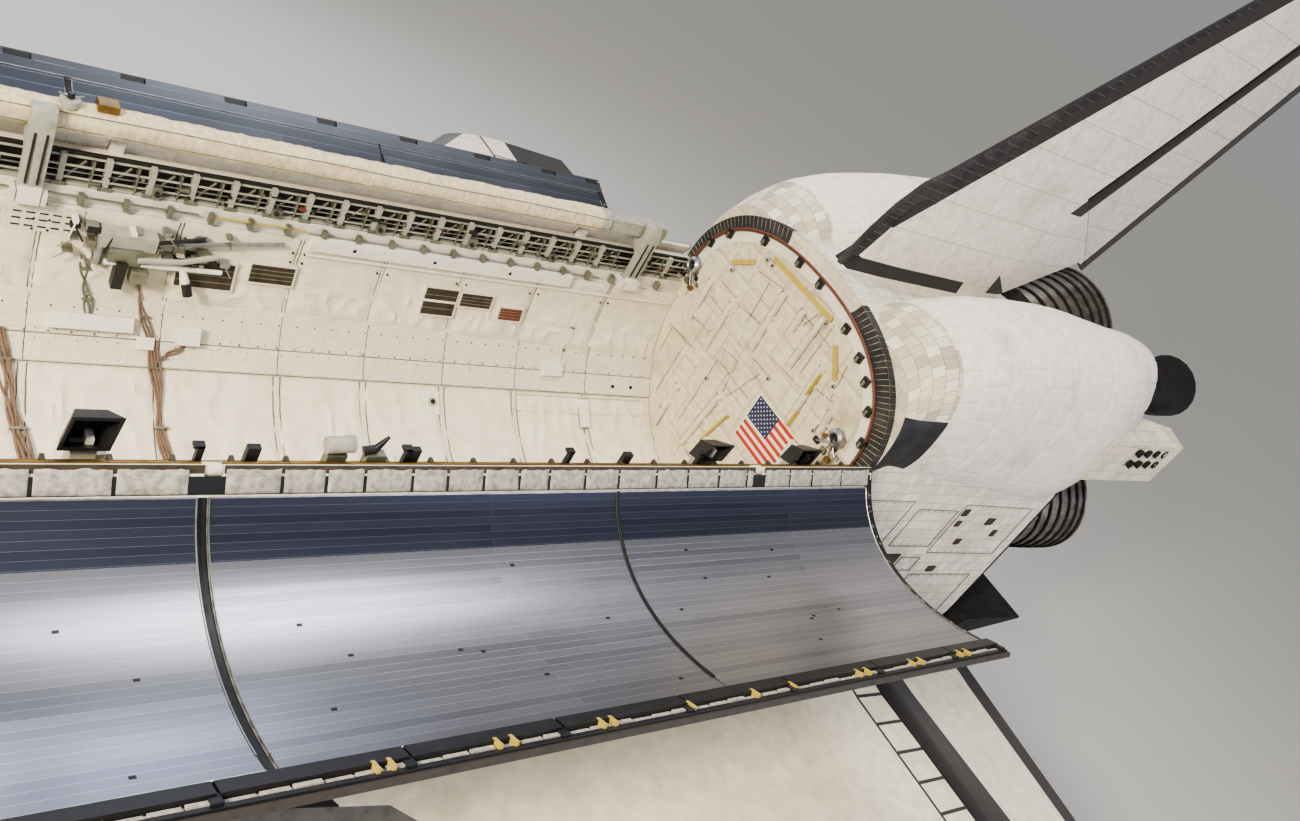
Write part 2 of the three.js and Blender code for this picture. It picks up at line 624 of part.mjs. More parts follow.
const omsLong = Math.hypot(...omsWay);
const omsLean = (OMS.r0 * omsWay[2]) / omsLong + GAP;
const omsProfile = [
  [0, 0],
  [0, OMS.r0],
  [16, 16],
  [32, 20.3],
  [omsLong, OMS.r1],
  [omsLong, OMS.r1 - 0.9],
  [32, 19.3],
  [16, 14.9],
  [4, 8],
  [4, 0],
];
const omsNozzle = turned(omsProfile, [OMS.from[0] + omsLean, OMS.y, OMS.from[1]], omsWay, 20);
add('starboard_pod_nozzle', omsNozzle, darkMetal);
add('port_pod_nozzle', mirrored(omsNozzle), darkMetal);

// Wings: sections as rows of [x, lower z, upper z]
const WING = [
  {
    y: HALF + GAP,
    rows: [
      [577, 281, 285], [600, 275, 292], [700, 270, 304], [850, 267.5, 316], [1014, 267, 325],
      [1150, 267, 327], [1300, 267.5, 320], [HINGE_X, 268, 304], [1510.5, 283.2, 285.2],
    ],
  },
  {
    y: 174.4,
    rows: [
      [1014, 288.5, 291], [1022, 282.5, 299], [1044, 278, 306], [1080, 275.5, 313], [1140, 273.8, 318],
      [1220, 273, 318], [1310, 274, 312], [HINGE_X, 277.3, 302.3], [1498, 287.6, 289.2],
    ],
  },
  {
    y: 468.4,
    rows: [
      [1308.3, 302.6, 304.2], [1311, 301, 306.5], [1318, 300.3, 309], [1328, 300, 311],
      [1340, 299.9, 312], [1352, 300, 312.4], [1368, 300.2, 312.2], [HINGE_X, 300.6, 311],
      [1446, 305.8, 307],
    ],
  },
];
const wingFull = loft(
  WING.map(({ y, rows }) => [
    ...rows.map(([x, , high]) => [x, y, high]),
    ...rows.map(([x, low]) => [x, y, low]).reverse(),
  ]),
  'strip',
);
const edgeX = (y) => (y < 174.4 ? 577 + ((y - 105) * 437) / 69.4 : 1014 + ((y - 174.4) * 294.3) / 294);
const EDGE_FROM = 140;
const band = (grow) => {
  const front = [[edgeX(EDGE_FROM) - 60, EDGE_FROM - grow], [1320, 480], [1340, 480]];
  const back = [[edgeX(468.4) + LE_DEPTH + grow, 480], [edgeX(468.4) + LE_DEPTH + grow, 468.4]];
  const inner = [
    [edgeX(174.4) + LE_DEPTH + 4 + grow, 174.4],
    [edgeX(EDGE_FROM) + LE_DEPTH + 30 + grow, EDGE_FROM - grow],
  ];
  return alongZ([front[0], [edgeX(174.4) - 60, 174.4], [1200, 480], ...back, ...inner], 250, 340);
};
const hingeZ = (y) => 286 + (y - 105) * 0.0545;
const hingeFrame = {
  o: new THREE.Vector3(HINGE_X, 0, hingeZ(0)),
  w: new THREE.Vector3(0, 1, 0.0545).normalize(),
};
const nosePin = (y0, y1, grow = 0) => {
  const r = (y) => (y < 174.4 ? 17.6 - (y - 105) * 0.075 : 12.4 - (y - 174.4) * 0.0248);
  return { r0: r(y0) - 0.6 + grow, r1: r(y1) - 0.2 + grow };
};

/** The slab of space between two planes square to the hinge line, from u0 aft of the line. */
function hingeSlab(y0, y1, u0, u1) {
  const w = hingeFrame.w;
  const up = new THREE.Vector3(0, -w.z, w.y);
  const ring = (y, u) => {
    const at = new THREE.Vector3(HINGE_X, y, hingeZ(y));
    return [[u, -60], [u, 60], [260, 60], [260, -60]].map(([a, b]) =>
      at.clone().add(new THREE.Vector3(a, 0, 0)).addScaledVector(up, b).toArray(),
    );
  };
  return loft([ring(y0, u0), ring(y1, u1)]);
}
const elevons = ELEVONS.map(([y0, y1]) => {
  const { r0, r1 } = nosePin(y0, y1);
  const pin = bar([HINGE_X, y0, hingeZ(y0)], [HINGE_X, y1, hingeZ(y1)], r0, r1, 20);
  const flap = common(wingFull, hingeSlab(y0, y1, 0, 0));
  const bayCut = hingeSlab(y0 - RUN, y1 + RUN, -r0 - RUN - 0.2, -r1 - RUN - 0.2);
  return { body: join(flap, pin), bayCut };
});
const elevonBosses = [[ELEVONS[0][0], -1], [ELEVONS[1][1], 1]].map(([y, side]) =>
  bar(...[GAP, RUN + 1].map((d) => [HINGE_X, y + side * d, hingeZ(y + side * d)]), 2.6, 2.6),
);
const mainWell = box(MAIN_WELL.x, MAIN_WELL.y, [250, MAIN_WELL.top]);
const wingBody = cut(wingFull, band(GAP), mainWell, ...elevons.map(({ bayCut }) => bayCut));
const wing = join(wingBody, ...elevonBosses);
const leadingEdge = common(wingFull, band(0));
for (const [label, turn] of [['starboard', (b) => b], ['port', mirrored]]) {
  add(`${label}_wing`, cut(turn(wing), aftTool), whiteTile);
  add(`${label}_leading_edge`, turn(leadingEdge), greyCarbon);
  add(`${label}_elevon_inboard`, turn(elevons[0].body), whiteTile);
  add(`${label}_elevon_outboard`, turn(elevons[1].body), whiteTile);
}

// Body flap
const flapLine = [];
for (let i = 0; i <= 8; i += 1) {
  const a = Math.PI / 2 + (Math.PI * i) / 8;
  flapLine.push([FLAP.x + FLAP.r * Math.cos(a), FLAP.z + FLAP.r * Math.sin(a)]);
}
flapLine.push([FLAP.te, FLAP.z - 1], [FLAP.te, FLAP.z + 1]);
const flapSlots = FLAP.brackets.map((y) =>
  box([FLAP.x - 20, FLAP.x + 9], [y - FLAP.slot, y + FLAP.slot], [FLAP.z - 20, FLAP.z + 20]),
);
add('body_flap', cut(alongY(flapLine, -FLAP.half, FLAP.half), ...flapSlots), blackTile);

// Fin and rudder
const FIN_FRACTIONS = [[0, 0.08], [0.06, 0.38], [0.25, 0.76], [0.6, 1], [1, 0.09]];
const finRing = (z) => {
  const k = (z - FIN.root) / (FIN.tip - FIN.root);
  const le = FIN.le + (z - FIN.root);
  const te = FIN.teRoot + (FIN.teTip - FIN.teRoot) * k;
  const t = FIN.tRoot + (FIN.tTip - FIN.tRoot) * k;
  const side = FIN_FRACTIONS.map(([f, h]) => [le + (te - le) * f, t * h, z]);
  return [...side, ...side.map(([x, y, zz]) => [x, -y, zz]).reverse()];
};
const finFull = loft([finRing(494), finRing(FIN.tip)], 'strip');
const FIN_ROOT_CURVE = [
  [1290, 620], [1290, 503.5], [1315, 503.5], [1323, 514], [1332, 534], [1341, 557], [1352, 576.4], [1395, 619.4],
];
const FIN_STUB = [[1470, 506], [1549, 543.5], [1700, 470], [1470, 470]];
const rudderAxis = new THREE.Vector3(RUDDER.x1 - RUDDER.x0, 0, RUDDER.z1 - RUDDER.z0);
const rudderSpan = rudderAxis.length();
rudderAxis.normalize();
const aftward = new THREE.Vector3(rudderAxis.z, 0, -rudderAxis.x);
const rudderPoint = (u, v, w) => {
  const at = new THREE.Vector3(RUDDER.x0, v, RUDDER.z0);
  return at.addScaledVector(aftward, u).addScaledVector(rudderAxis, w).toArray();
};

/** A block in the rudder's frame: u aft of the hinge line, v sideways, w along the line. */
function rudderBlock(u0, u1, v, w) {
  const ring = (at, u) => [
    rudderPoint(u, v[0], at),
    rudderPoint(u, v[1], at),
    rudderPoint(150, v[1], at),
    rudderPoint(150, v[0], at),
  ];
  return loft([ring(w[0], u0), ring(w[1], u1)]);
}
const END = 0.6; // from the rudder's ends to the fin
const rudderBay = rudderBlock(-RUDDER.r0 - 0.5, -RUDDER.r1 - 0.5, [-40, 40], [0, rudderSpan]);
const fin = cut(
  finFull,
  aftTool,
  box([1200, 1312 + GAP], [-40, 40], [480, 700]),
  alongY(FIN_ROOT_CURVE, -40, 40),
  alongY(FIN_STUB, -40, 40),
  rudderBay,
);
add('vertical_fin', fin, blanket);
const CORE = 1.3;
const BORE = 1.327;
const shaftFrom = rudderPoint(0, 0, GAP);
const shaftTo = rudderPoint(0, 0, rudderSpan - GAP);
add('rudder_shaft', bar(shaftFrom, shaftTo, CORE, CORE, 24), metal);
const pinFrom = rudderPoint(0, 0, END);
const pinTo = rudderPoint(0, 0, rudderSpan - END);
const rudderNose = bar(pinFrom, pinTo, RUDDER.r0 - 0.3, RUDDER.r1 - 0.2, 20);
const coreTool = bar(rudderPoint(0, 0, -2), rudderPoint(0, 0, rudderSpan + 2), BORE, BORE, 24);
const split = RUN / 2;
const blade = join(common(finFull, rudderBlock(0, 0, [-40, 40], [END, rudderSpan - END])), rudderNose);
// Degrees round the shaft, from aft, that a panel's nose covers, so that both can swing out past each other.
const NOSE_COVER = THREE.MathUtils.degToRad(125);
const noseRing = (w) =>
  [[0, 0], [60 * Math.cos(NOSE_COVER), 60 * Math.sin(NOSE_COVER)], [-60, 60], [-60, -5], [0, -5]].map(([u, v]) =>
    rudderPoint(u, v, w),
  );
const noseTool = loft([noseRing(-5), noseRing(rudderSpan + 5)]);
const halfBlade = common(blade, rudderBlock(-60, -60, [split, 40], [-5, rudderSpan + 5]));
const half = cut(halfBlade, noseTool, coreTool);
add('rudder_panel_starboard', half, blanket);
add('rudder_panel_port', mirrored(half), blanket);

// Landing gear doors, hanging open beside the wells
const noseDoor = cut(
  box([NOSE_WELL.x[0] + 2, NOSE_WELL.x[1] - 2], [NOSE_WELL.y + 0.3, NOSE_WELL.y + 1.7], [NOSE_DOOR_LOW, 300]),
  moved(nose, 0, 0, -GAP),
);
add('starboard_nose_gear_door', noseDoor, whiteTile);
add('port_nose_gear_door', mirrored(noseDoor), whiteTile);
const mainDoor = cut(
  box([MAIN_WELL.x[0] + 2, MAIN_WELL.x[1] - 2], [MAIN_WELL.y[1] + 0.3, MAIN_WELL.y[1] + 2.3], [MAIN_DOOR_LOW, 290]),
  moved(wingFull, 0, 0, -GAP),
);
add('starboard_main_gear_door', mainDoor, blackTile);
add('port_main_gear_door', mirrored(mainDoor), blackTile);

// Landing gear, upright in the outer frame
const upZ = (x, z) => STAND + (x - MIDDLE) * IN * Math.sin(PITCH) + (z - BELLY) * IN * Math.cos(PITCH);
const outX = (x, z) => SHIFT + (x - MIDDLE) * IN * Math.cos(PITCH) - (z - BELLY) * IN * Math.sin(PITCH);
const groundZ = (x, height) => {
  const rise = height - STAND - (x - MIDDLE) * IN * Math.sin(PITCH);
  return BELLY + rise / (IN * Math.cos(PITCH));
};

/** One wheel: a tyre on its rim, closed on the axle. */
function wheel({ r, w, rim }, y, x, z) {
  const profile = [
    [-w * 0.3, 0],
    [-w * 0.3, rim * 0.9],
    [-w * 0.42, rim],
    [-w * 0.5, (r + rim) / 2],
    [-w * 0.44, r * 0.93],
    [-w * 0.22, r],
    [w * 0.22, r],
    [w * 0.44, r * 0.93],
    [w * 0.5, (r + rim) / 2],
    [w * 0.42, rim],
    [w * 0.3, rim * 0.9],
    [w * 0.3, 0],
  ];
  return turned(profile, [x, y, z], [0, 1, 0], 24);
}

/** Twin wheels on one axle. */
function wheels(gear, x, y, spread) {
  return join(
    wheel(gear, y - spread, x, gear.r),
    wheel(gear, y + spread, x, gear.r),
    bar([x, y - spread, gear.r], [x, y + spread, gear.r], gear.axle, gear.axle, AXLE_SIDES),
  );
}
/** The height, in the outer frame, of the level z of the vehicle above the outer frame's x. */
const ceiling = (x, z) => {
  const rise = (z - BELLY) * IN;
  return STAND + rise / Math.cos(PITCH) + (x - SHIFT) * Math.tan(PITCH);
};
const noseX = outX(NOSE_GEAR.x, groundZ(NOSE_GEAR.x, NOSE_GEAR.r));
const noseTop = ceiling(noseX - NOSE_GEAR.leg, NOSE_WELL.top) - 0.3;
const noseBrace = [noseX - 1150, 0, ceiling(noseX - 1200, NOSE_WELL.top) - 45];
const noseLeg = join(
  bar([noseX, 0, 1230], [noseX, 0, noseTop], NOSE_GEAR.leg, NOSE_GEAR.leg, 16),
  bar([noseX, 0, 1500], noseBrace, 38, 38, 8),
);
add('nose_gear_leg', noseLeg, metal, root);
const NOSE_SPREAD = 190;
const noseEye = bar([noseX, -52, NOSE_GEAR.r], [noseX, 52, NOSE_GEAR.r], NOSE_GEAR.eye, NOSE_GEAR.eye, 16);
const COLLAR_TOP = 1230 - 0.3;
const noseFork = cut(
  join(
    bar([noseX, 0, NOSE_GEAR.r], [noseX, 0, 1210], 62, 62, 12),
    bar([noseX, 0, 1140], [noseX, 0, COLLAR_TOP], 110, 110, 16),
    noseEye,
  ),
  bar([noseX, -80, NOSE_GEAR.r], [noseX, 80, NOSE_GEAR.r], NOSE_GEAR.bore, NOSE_GEAR.bore, AXLE_SIDES),
);
add('nose_gear_steering', noseFork, metal, root);
add('nose_wheels', wheels(NOSE_GEAR, noseX, 0, NOSE_SPREAD), rubber, root);

const mainX = outX(MAIN.x, groundZ(MAIN.x, MAIN.r));
const MAIN_SPREAD = 310;
const mainTop = ceiling(mainX - MAIN.leg, MAIN_WELL.top) - 0.3;
const braceTop = ceiling(mainX - 1920, MAIN_WELL.top) - 62;
for (const [label, side] of [['starboard', 1], ['port', -1]]) {
  const y = side * MAIN.y;
  const leg = cut(
    join(
      bar([mainX, y, MAIN.r], [mainX, y, mainTop], 105, 105, 12),
      bar([mainX, y, 1150], [mainX, y, mainTop], MAIN.leg, MAIN.leg, 16),
      bar([mainX, y, 1500], [mainX - 1850, y, braceTop], 55, 55, 8),
      bar([mainX, y - 95, MAIN.r], [mainX, y + 95, MAIN.r], MAIN.eye, MAIN.eye, 16),
    ),
    bar([mainX, y - 120, MAIN.r], [mainX, y + 120, MAIN.r], MAIN.bore, MAIN.bore, AXLE_SIDES),
  );
  add(`${label}_main_gear_leg`, leg, metal, root);
  add(`${label}_main_wheels`, wheels(MAIN, mainX, y, MAIN_SPREAD), rubber, root);
}

export default root;
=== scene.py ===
"""A space shuttle orbiter with its payload bay open, standing on its landing gear.

The visual pieces are drawn in stations, as the type is lofted: x is the distance aft, y the
distance to starboard and z the height, all in inches. STATIONS turns them to the frame's metres.
"""

from __future__ import annotations

import json
import logging
import math
import random
from dataclasses import dataclass, field
from enum import Enum
from typing import Callable, Iterable, Sequence

import bmesh
import bpy
from mathutils import Matrix, Vector, noise

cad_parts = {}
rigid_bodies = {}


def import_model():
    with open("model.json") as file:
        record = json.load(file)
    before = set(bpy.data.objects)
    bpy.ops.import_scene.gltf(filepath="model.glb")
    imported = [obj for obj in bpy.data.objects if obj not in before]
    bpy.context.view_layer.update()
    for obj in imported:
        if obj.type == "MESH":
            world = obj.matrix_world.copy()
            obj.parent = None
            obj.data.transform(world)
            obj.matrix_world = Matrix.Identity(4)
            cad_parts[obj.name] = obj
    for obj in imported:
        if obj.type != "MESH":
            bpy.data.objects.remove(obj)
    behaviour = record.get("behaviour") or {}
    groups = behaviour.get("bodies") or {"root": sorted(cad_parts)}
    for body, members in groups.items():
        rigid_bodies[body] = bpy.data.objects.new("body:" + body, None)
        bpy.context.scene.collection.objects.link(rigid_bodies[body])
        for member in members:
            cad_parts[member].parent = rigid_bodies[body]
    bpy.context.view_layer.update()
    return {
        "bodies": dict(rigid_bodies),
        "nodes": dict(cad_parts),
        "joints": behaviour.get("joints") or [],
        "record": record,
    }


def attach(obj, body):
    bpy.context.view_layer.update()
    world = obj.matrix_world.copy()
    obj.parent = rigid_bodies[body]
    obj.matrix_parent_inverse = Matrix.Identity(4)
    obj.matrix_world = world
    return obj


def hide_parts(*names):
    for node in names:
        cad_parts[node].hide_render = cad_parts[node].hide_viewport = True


LOG = logging.getLogger("orbiter")
Point = tuple[float, float, float]
Pair = tuple[float, float]

INCH = 0.0254
MM = 1 / 25.4  # one millimetre in stations
PITCH = math.radians(3)  # the vehicle parks nose low
MIDDLE, BELLY = 969.0, 267.0  # x of the middle and z of the flat belly
SHIFT, STAND = 0.4065, 2.322  # where that point stands in the frame, in metres
STATIONS = (
    Matrix.Translation((SHIFT, 0, STAND))
    @ Matrix.Rotation(-PITCH, 4, "Y")
    @ Matrix.Scale(INCH, 4)
    @ Matrix.Translation((-MIDDLE, 0, -BELLY))
)
FRAME = Matrix.Identity(4)

HALF = 105.0  # half width of the mid fuselage
SHOULDER, CROWN, SQUARE = 427.0, 75.0, 2.3  # the top's height, rise and superellipse exponent
BAY_Z, BAY_R = 400.0, 94.0  # height and radius of the payload bay's round liner
FRAMES = (582, 636, 693, 750, 807, 863, 919, 979, 1040, 1090, 1141, 1193, 1249, 1307)  # x of its frames
BOOM_MOUNTS = (679.5, 911.0, 1257.0)  # x of the boom's pedestals
HINGE_Y, HINGE_Z = 105.6, 434.0  # the hinge line of the starboard door
DOOR_T, RADIATOR_T, RUN = 2.4, 1.4, 7 * MM  # thickness of a door and a radiator, and the gap between them
SHARP = math.radians(32)  # edges that turn more than this stay sharp
MERGE, WELD = 2e-5, 2e-4  # in metres: nearer corners of a sketch, or of a CAD node, are joined
# The faces of a box whose corners are counted by x, y and z, and of one between two rings of four.
CUBE = ((0, 1, 3, 2), (4, 6, 7, 5), (0, 4, 5, 1), (2, 3, 7, 6), (0, 2, 6, 4), (1, 5, 7, 3))
PRISM = ((3, 2, 1, 0), (4, 5, 6, 7), (0, 1, 5, 4), (1, 2, 6, 5), (2, 3, 7, 6), (3, 0, 4, 7))


def hex_colour(code: str) -> tuple[float, float, float, float]:
    """Turns an sRGB hex value to linear RGBA.

    Args:
        code: Six hex digits.

    Returns:
        The linear colour with an alpha of one.
    """
    parts = [int(code[i : i + 2], 16) / 255 for i in (0, 2, 4)]
    red, green, blue = [p / 12.92 if p <= 0.04045 else ((p + 0.055) / 1.055) ** 2.4 for p in parts]
    return red, green, blue, 1.0


def add_node(
    tree: bpy.types.NodeTree,
    kind: str,
    inputs: dict[str | int, object] | None = None,
    **settings: object,
) -> bpy.types.Node:
    """Adds a shader node with its settings and links.

    Args:
        tree: The material's node tree.
        kind: The node's type without its "ShaderNode" prefix.
        inputs: A socket to link from, or a value, for each input's name or number.
        **settings: The node's own properties.

    Returns:
        The new node.
    """
    node = tree.nodes.new("ShaderNode" + kind)
    for key, value in settings.items():
        setattr(node, key, value)
    for key, value in (inputs or {}).items():
        if isinstance(value, bpy.types.NodeSocket):
            tree.links.new(value, node.inputs[key])
        else:
            node.inputs[key].default_value = value
    return node


class Layout(Enum):
    """How a pattern lies on a surface."""

    BOX = "seen square from the nearest axis"
    FLAT = "by the piece's own lengths"


@dataclass(frozen=True)
class Cut:
    """The side of a plane where weights . (x, |y|, z) + tilt . (nx, |ny|, nz) is over a limit."""

    weights: Point
    above: float
    tilt: Point = (0.0, 0.0, 0.0)


class Ground:
    """The sockets that every pattern of one material starts from."""

    def __init__(self, tree: bpy.types.NodeTree, layout: Layout) -> None:
        """Adds the nodes that give a surface point in stations.

        Args:
            tree: The material's node tree.
            layout: How patterns lie.
        """
        self.tree = tree
        given = add_node(tree, "TexCoord")
        back = Matrix.Rotation(PITCH, 3, "Y") @ Vector((SHIFT, 0, STAND)) / INCH
        place = (MIDDLE - back.x, 0.0, BELLY - back.z)
        turn = {"Location": place, "Rotation": (0, PITCH, 0), "Scale": [1 / INCH] * 3}
        self.point = add_node(tree, "Mapping", {"Vector": given.outputs["Object"]} | turn).outputs[0]
        self.even = self.mirrored(self.point)
        self.even_normal = self.mirrored(given.outputs["Normal"])
        self.flat = given.outputs["UV"] if layout is Layout.FLAT else self.boxed()

    def math(self, operation: str, *values: object) -> bpy.types.NodeSocket:
        """The result of one sum on numbers or sockets."""
        return add_node(self.tree, "Math", dict(enumerate(values)), operation=operation).outputs[0]

    def mirrored(self, vector: bpy.types.NodeSocket) -> bpy.types.NodeSocket:
        """The vector with |y| for y, so that both sides are alike."""
        x, y, z = add_node(self.tree, "SeparateXYZ", {0: vector}).outputs
        parts = {0: x, 1: self.math("ABSOLUTE", y), 2: z}
        return add_node(self.tree, "CombineXYZ", parts).outputs[0]

    def boxed(self) -> bpy.types.NodeSocket:
        """The point as seen square from above, from the side or from the front."""
        x, y, z = add_node(self.tree, "SeparateXYZ", {0: self.point}).outputs
        n = add_node(self.tree, "SeparateXYZ", {0: self.even_normal}).outputs
        level = self.math("GREATER_THAN", self.math("ABSOLUTE", n[2]), 0.62)
        front = self.math("GREATER_THAN", self.math("ABSOLUTE", n[0]), 0.75)
        pairs = ((x, z), (x, y), (y, z))
        side, above, ahead = [add_node(self.tree, "CombineXYZ", {0: a, 1: b}).outputs[0] for a, b in pairs]
        return self.mix(front, self.mix(level, side, above, "VECTOR"), ahead, "VECTOR")

    def mix(self, factor: object, a: object, b: object, kind: str = "RGBA") -> bpy.types.NodeSocket:
        """Mixes two colours or two vectors.

        Args:
            factor: The share of b.
            a: The first socket or value.
            b: The second socket or value.
            kind: RGBA or VECTOR.

        Returns:
            The mixed socket.
        """
        first, out = (6, 2) if kind == "RGBA" else (4, 1)
        node = add_node(self.tree, "Mix", {0: factor, first: a, first + 1: b}, data_type=kind)
        return node.outputs[out]

    def grain(
        self, vector: bpy.types.NodeSocket, size: float, detail: float = 3.0, stretch: Point = (1, 1, 1)
    ) -> bpy.types.NodeSocket:
        """Noise from 0 to 1.

        Args:
            vector: Where it is taken.
            size: The size of its blotches in stations.
            detail: Its octaves.
            stretch: How much longer the blotches are along each axis.

        Returns:
            The noise's socket.
        """
        scale = [1 / (size * s) for s in stretch]
        place = add_node(self.tree, "Mapping", {"Vector": vector, "Scale": scale}).outputs[0]
        return add_node(self.tree, "TexNoise", {"Vector": place, "Scale": 1.0, "Detail": detail}).outputs[0]

    def spots(self, size: float, detail: float = 3.0, stretch: Point = (1, 1, 1)) -> bpy.types.NodeSocket:
        """Noise from 0 to 1 over the vehicle's own stations."""
        return self.grain(self.point, size, detail, stretch)

    def ranged(
        self, value: bpy.types.NodeSocket, low: float, high: float, to_low: float = 0.0, to_high: float = 1.0
    ) -> bpy.types.NodeSocket:
        """Value mapped from low..high to to_low..to_high, held at the ends."""
        return add_node(self.tree, "MapRange", {0: value, 1: low, 2: high, 3: to_low, 4: to_high}).outputs[0]

    def dot(self, vector: bpy.types.NodeSocket, weights: Point) -> bpy.types.NodeSocket:
        """The dot product of a socket and fixed weights."""
        node = add_node(self.tree, "VectorMath", {0: vector, 1: weights}, operation="DOT_PRODUCT")
        return node.outputs["Value"]

    def zone(self, cuts: Sequence[Sequence[Cut]]) -> bpy.types.NodeSocket:
        """One where all the cuts of any group hold, and zero elsewhere.

        Args:
            cuts: Groups of cuts.

        Returns:
            The socket.
        """
        total: object = 0.0
        for group in cuts:
            inside: object = 1.0
            for cut in group:
                value = self.dot(self.even, cut.weights)
                if any(cut.tilt):
                    value = self.math("ADD", value, self.dot(self.even_normal, cut.tilt))
                inside = self.math("MULTIPLY", inside, self.math("GREATER_THAN", value, cut.above))
            total = self.math("MAXIMUM", total, inside)
        return total

    def bricks(
        self,
        size: Pair,
        joint: float,
        smooth: float,
        offset: float,
        colours: Sequence[str] = (),
        **more: float,
    ) -> bpy.types.Node:
        """Adds a pattern of bricks over the flat lengths.

        Args:
            size: Length and height of a brick in stations.
            joint: Full width of the joints in stations.
            smooth: How soft the joints' edges are.
            offset: How far each row is shifted against the last.
            colours: Two for the bricks and one for the joints, as hex values.
            **more: Further sockets of the node.

        Returns:
            The brick node.
        """
        grid = {"Vector": self.flat, "Scale": 1.0, "Brick Width": size[0], "Row Height": size[1]}
        grid |= {"Mortar Size": joint / 2, "Mortar Smooth": smooth} | more
        grid |= {key: hex_colour(code) for key, code in zip(("Color1", "Color2", "Mortar"), colours)}
        return add_node(self.tree, "TexBrick", grid, offset=offset)


@dataclass(frozen=True)
class Finish:
    """What every finish shares: a name, the record's slot and how its pattern lies."""

    name: str
    slot: str
    layout: Layout = field(default=Layout.BOX, kw_only=True)

    def dress(self, ground: Ground, shader: bpy.types.Node) -> None:
        """Fills the shader's sockets.

        Args:
            ground: The sockets that its patterns start from.
            shader: The shader node.
        """
        raise NotImplementedError

    def material(self) -> bpy.types.Material:
        """The finish as a material, made once."""
        known = bpy.data.materials.get(self.name)
        if known:
            return known
        made = bpy.data.materials.new(self.name)
        made.use_nodes = True
        tree = made.node_tree
        tree.nodes.clear()
        shader = add_node(tree, "BsdfPrincipled")
        add_node(tree, "OutputMaterial", {0: shader.outputs[0]})
        self.dress(Ground(tree, self.layout), shader)
        return made


def put(
    ground: Ground,
    shader: bpy.types.Node,
    colour: object,
    rough: object,
    height: object = None,
    depth_mm: float = 1.0,
) -> None:
    """Links a colour, a roughness and a relief to a shader.

    Args:
        ground: The material's ground.
        shader: Its shader node.
        colour: A socket or a linear colour.
        rough: A socket or a number.
        height: The relief's socket, from 0 to 1.
        depth_mm: The relief's full depth.
    """
    for key, value in (("Base Color", colour), ("Roughness", rough)):
        if isinstance(value, bpy.types.NodeSocket):
            ground.tree.links.new(value, shader.inputs[key])
        else:
            shader.inputs[key].default_value = value
    if height is not None:
        bump = add_node(ground.tree, "Bump", {"Height": height, "Strength": 1.0, "Distance": depth_mm / 1000})
        ground.tree.links.new(bump.outputs[0], shader.inputs["Normal"])


@dataclass(frozen=True)
class SilicaTile(Finish):
    """Fired silica fibre tiles with a sprayed glass coat: matt, each of its own shade, dark gaps.

    The real gaps are 1 to 2 mm. They are drawn 6 mm wide so that they show.
    """

    light: str = "E7E3D8"
    shade: str = "CFCABC"
    dirt: str = "A9A08C"
    gap: str = "6F6A60"
    black: str = "1B1C1F"
    black_shade: str = "2A2B2F"
    black_gap: str = "0B0B0C"
    black_dirt: str = "4B4A48"
    size_mm: float = 203.0
    gap_mm: float = 6.0
    zones: tuple[tuple[Cut, ...], ...] = ()
    weather: float = 0.5

    def dress(self, ground: Ground, shader: bpy.types.Node) -> None:
        """A staggered grid of tiles, black inside the zones."""
        size = (self.size_mm * MM, self.size_mm * MM)
        joint = self.gap_mm * MM
        lights = (self.light, self.shade, self.gap)
        tiles = ground.bricks(size, joint, smooth=0.1, offset=0.5, colours=lights, Bias=-0.1)
        stains = ground.ranged(ground.spots(38, 5, (2.2, 1, 1)), 0.5, 0.78, 0.0, self.weather)
        colour = ground.mix(stains, tiles.outputs["Color"], hex_colour(self.dirt))
        rough: object = ground.ranged(ground.spots(9), 0.3, 0.7, 0.72, 0.9)
        if self.zones:
            blacks = (self.black, self.black_shade, self.black_gap)
            coal = ground.bricks(size, joint, smooth=0.1, offset=0.5, colours=blacks, Bias=-0.1)
            worn = ground.ranged(ground.spots(16, 5), 0.52, 0.8, 0.0, 0.5)
            deep = ground.mix(worn, coal.outputs["Color"], hex_colour(self.black_dirt))
            inside = ground.zone(self.zones)
            colour = ground.mix(inside, colour, deep)
            rough = ground.math("SUBTRACT", rough, ground.math("MULTIPLY", inside, 0.3))
        relief = ground.math("SUBTRACT", ground.spots(0.6), tiles.outputs["Fac"])
        put(ground, shader, colour, rough, relief, depth_mm=1.6)


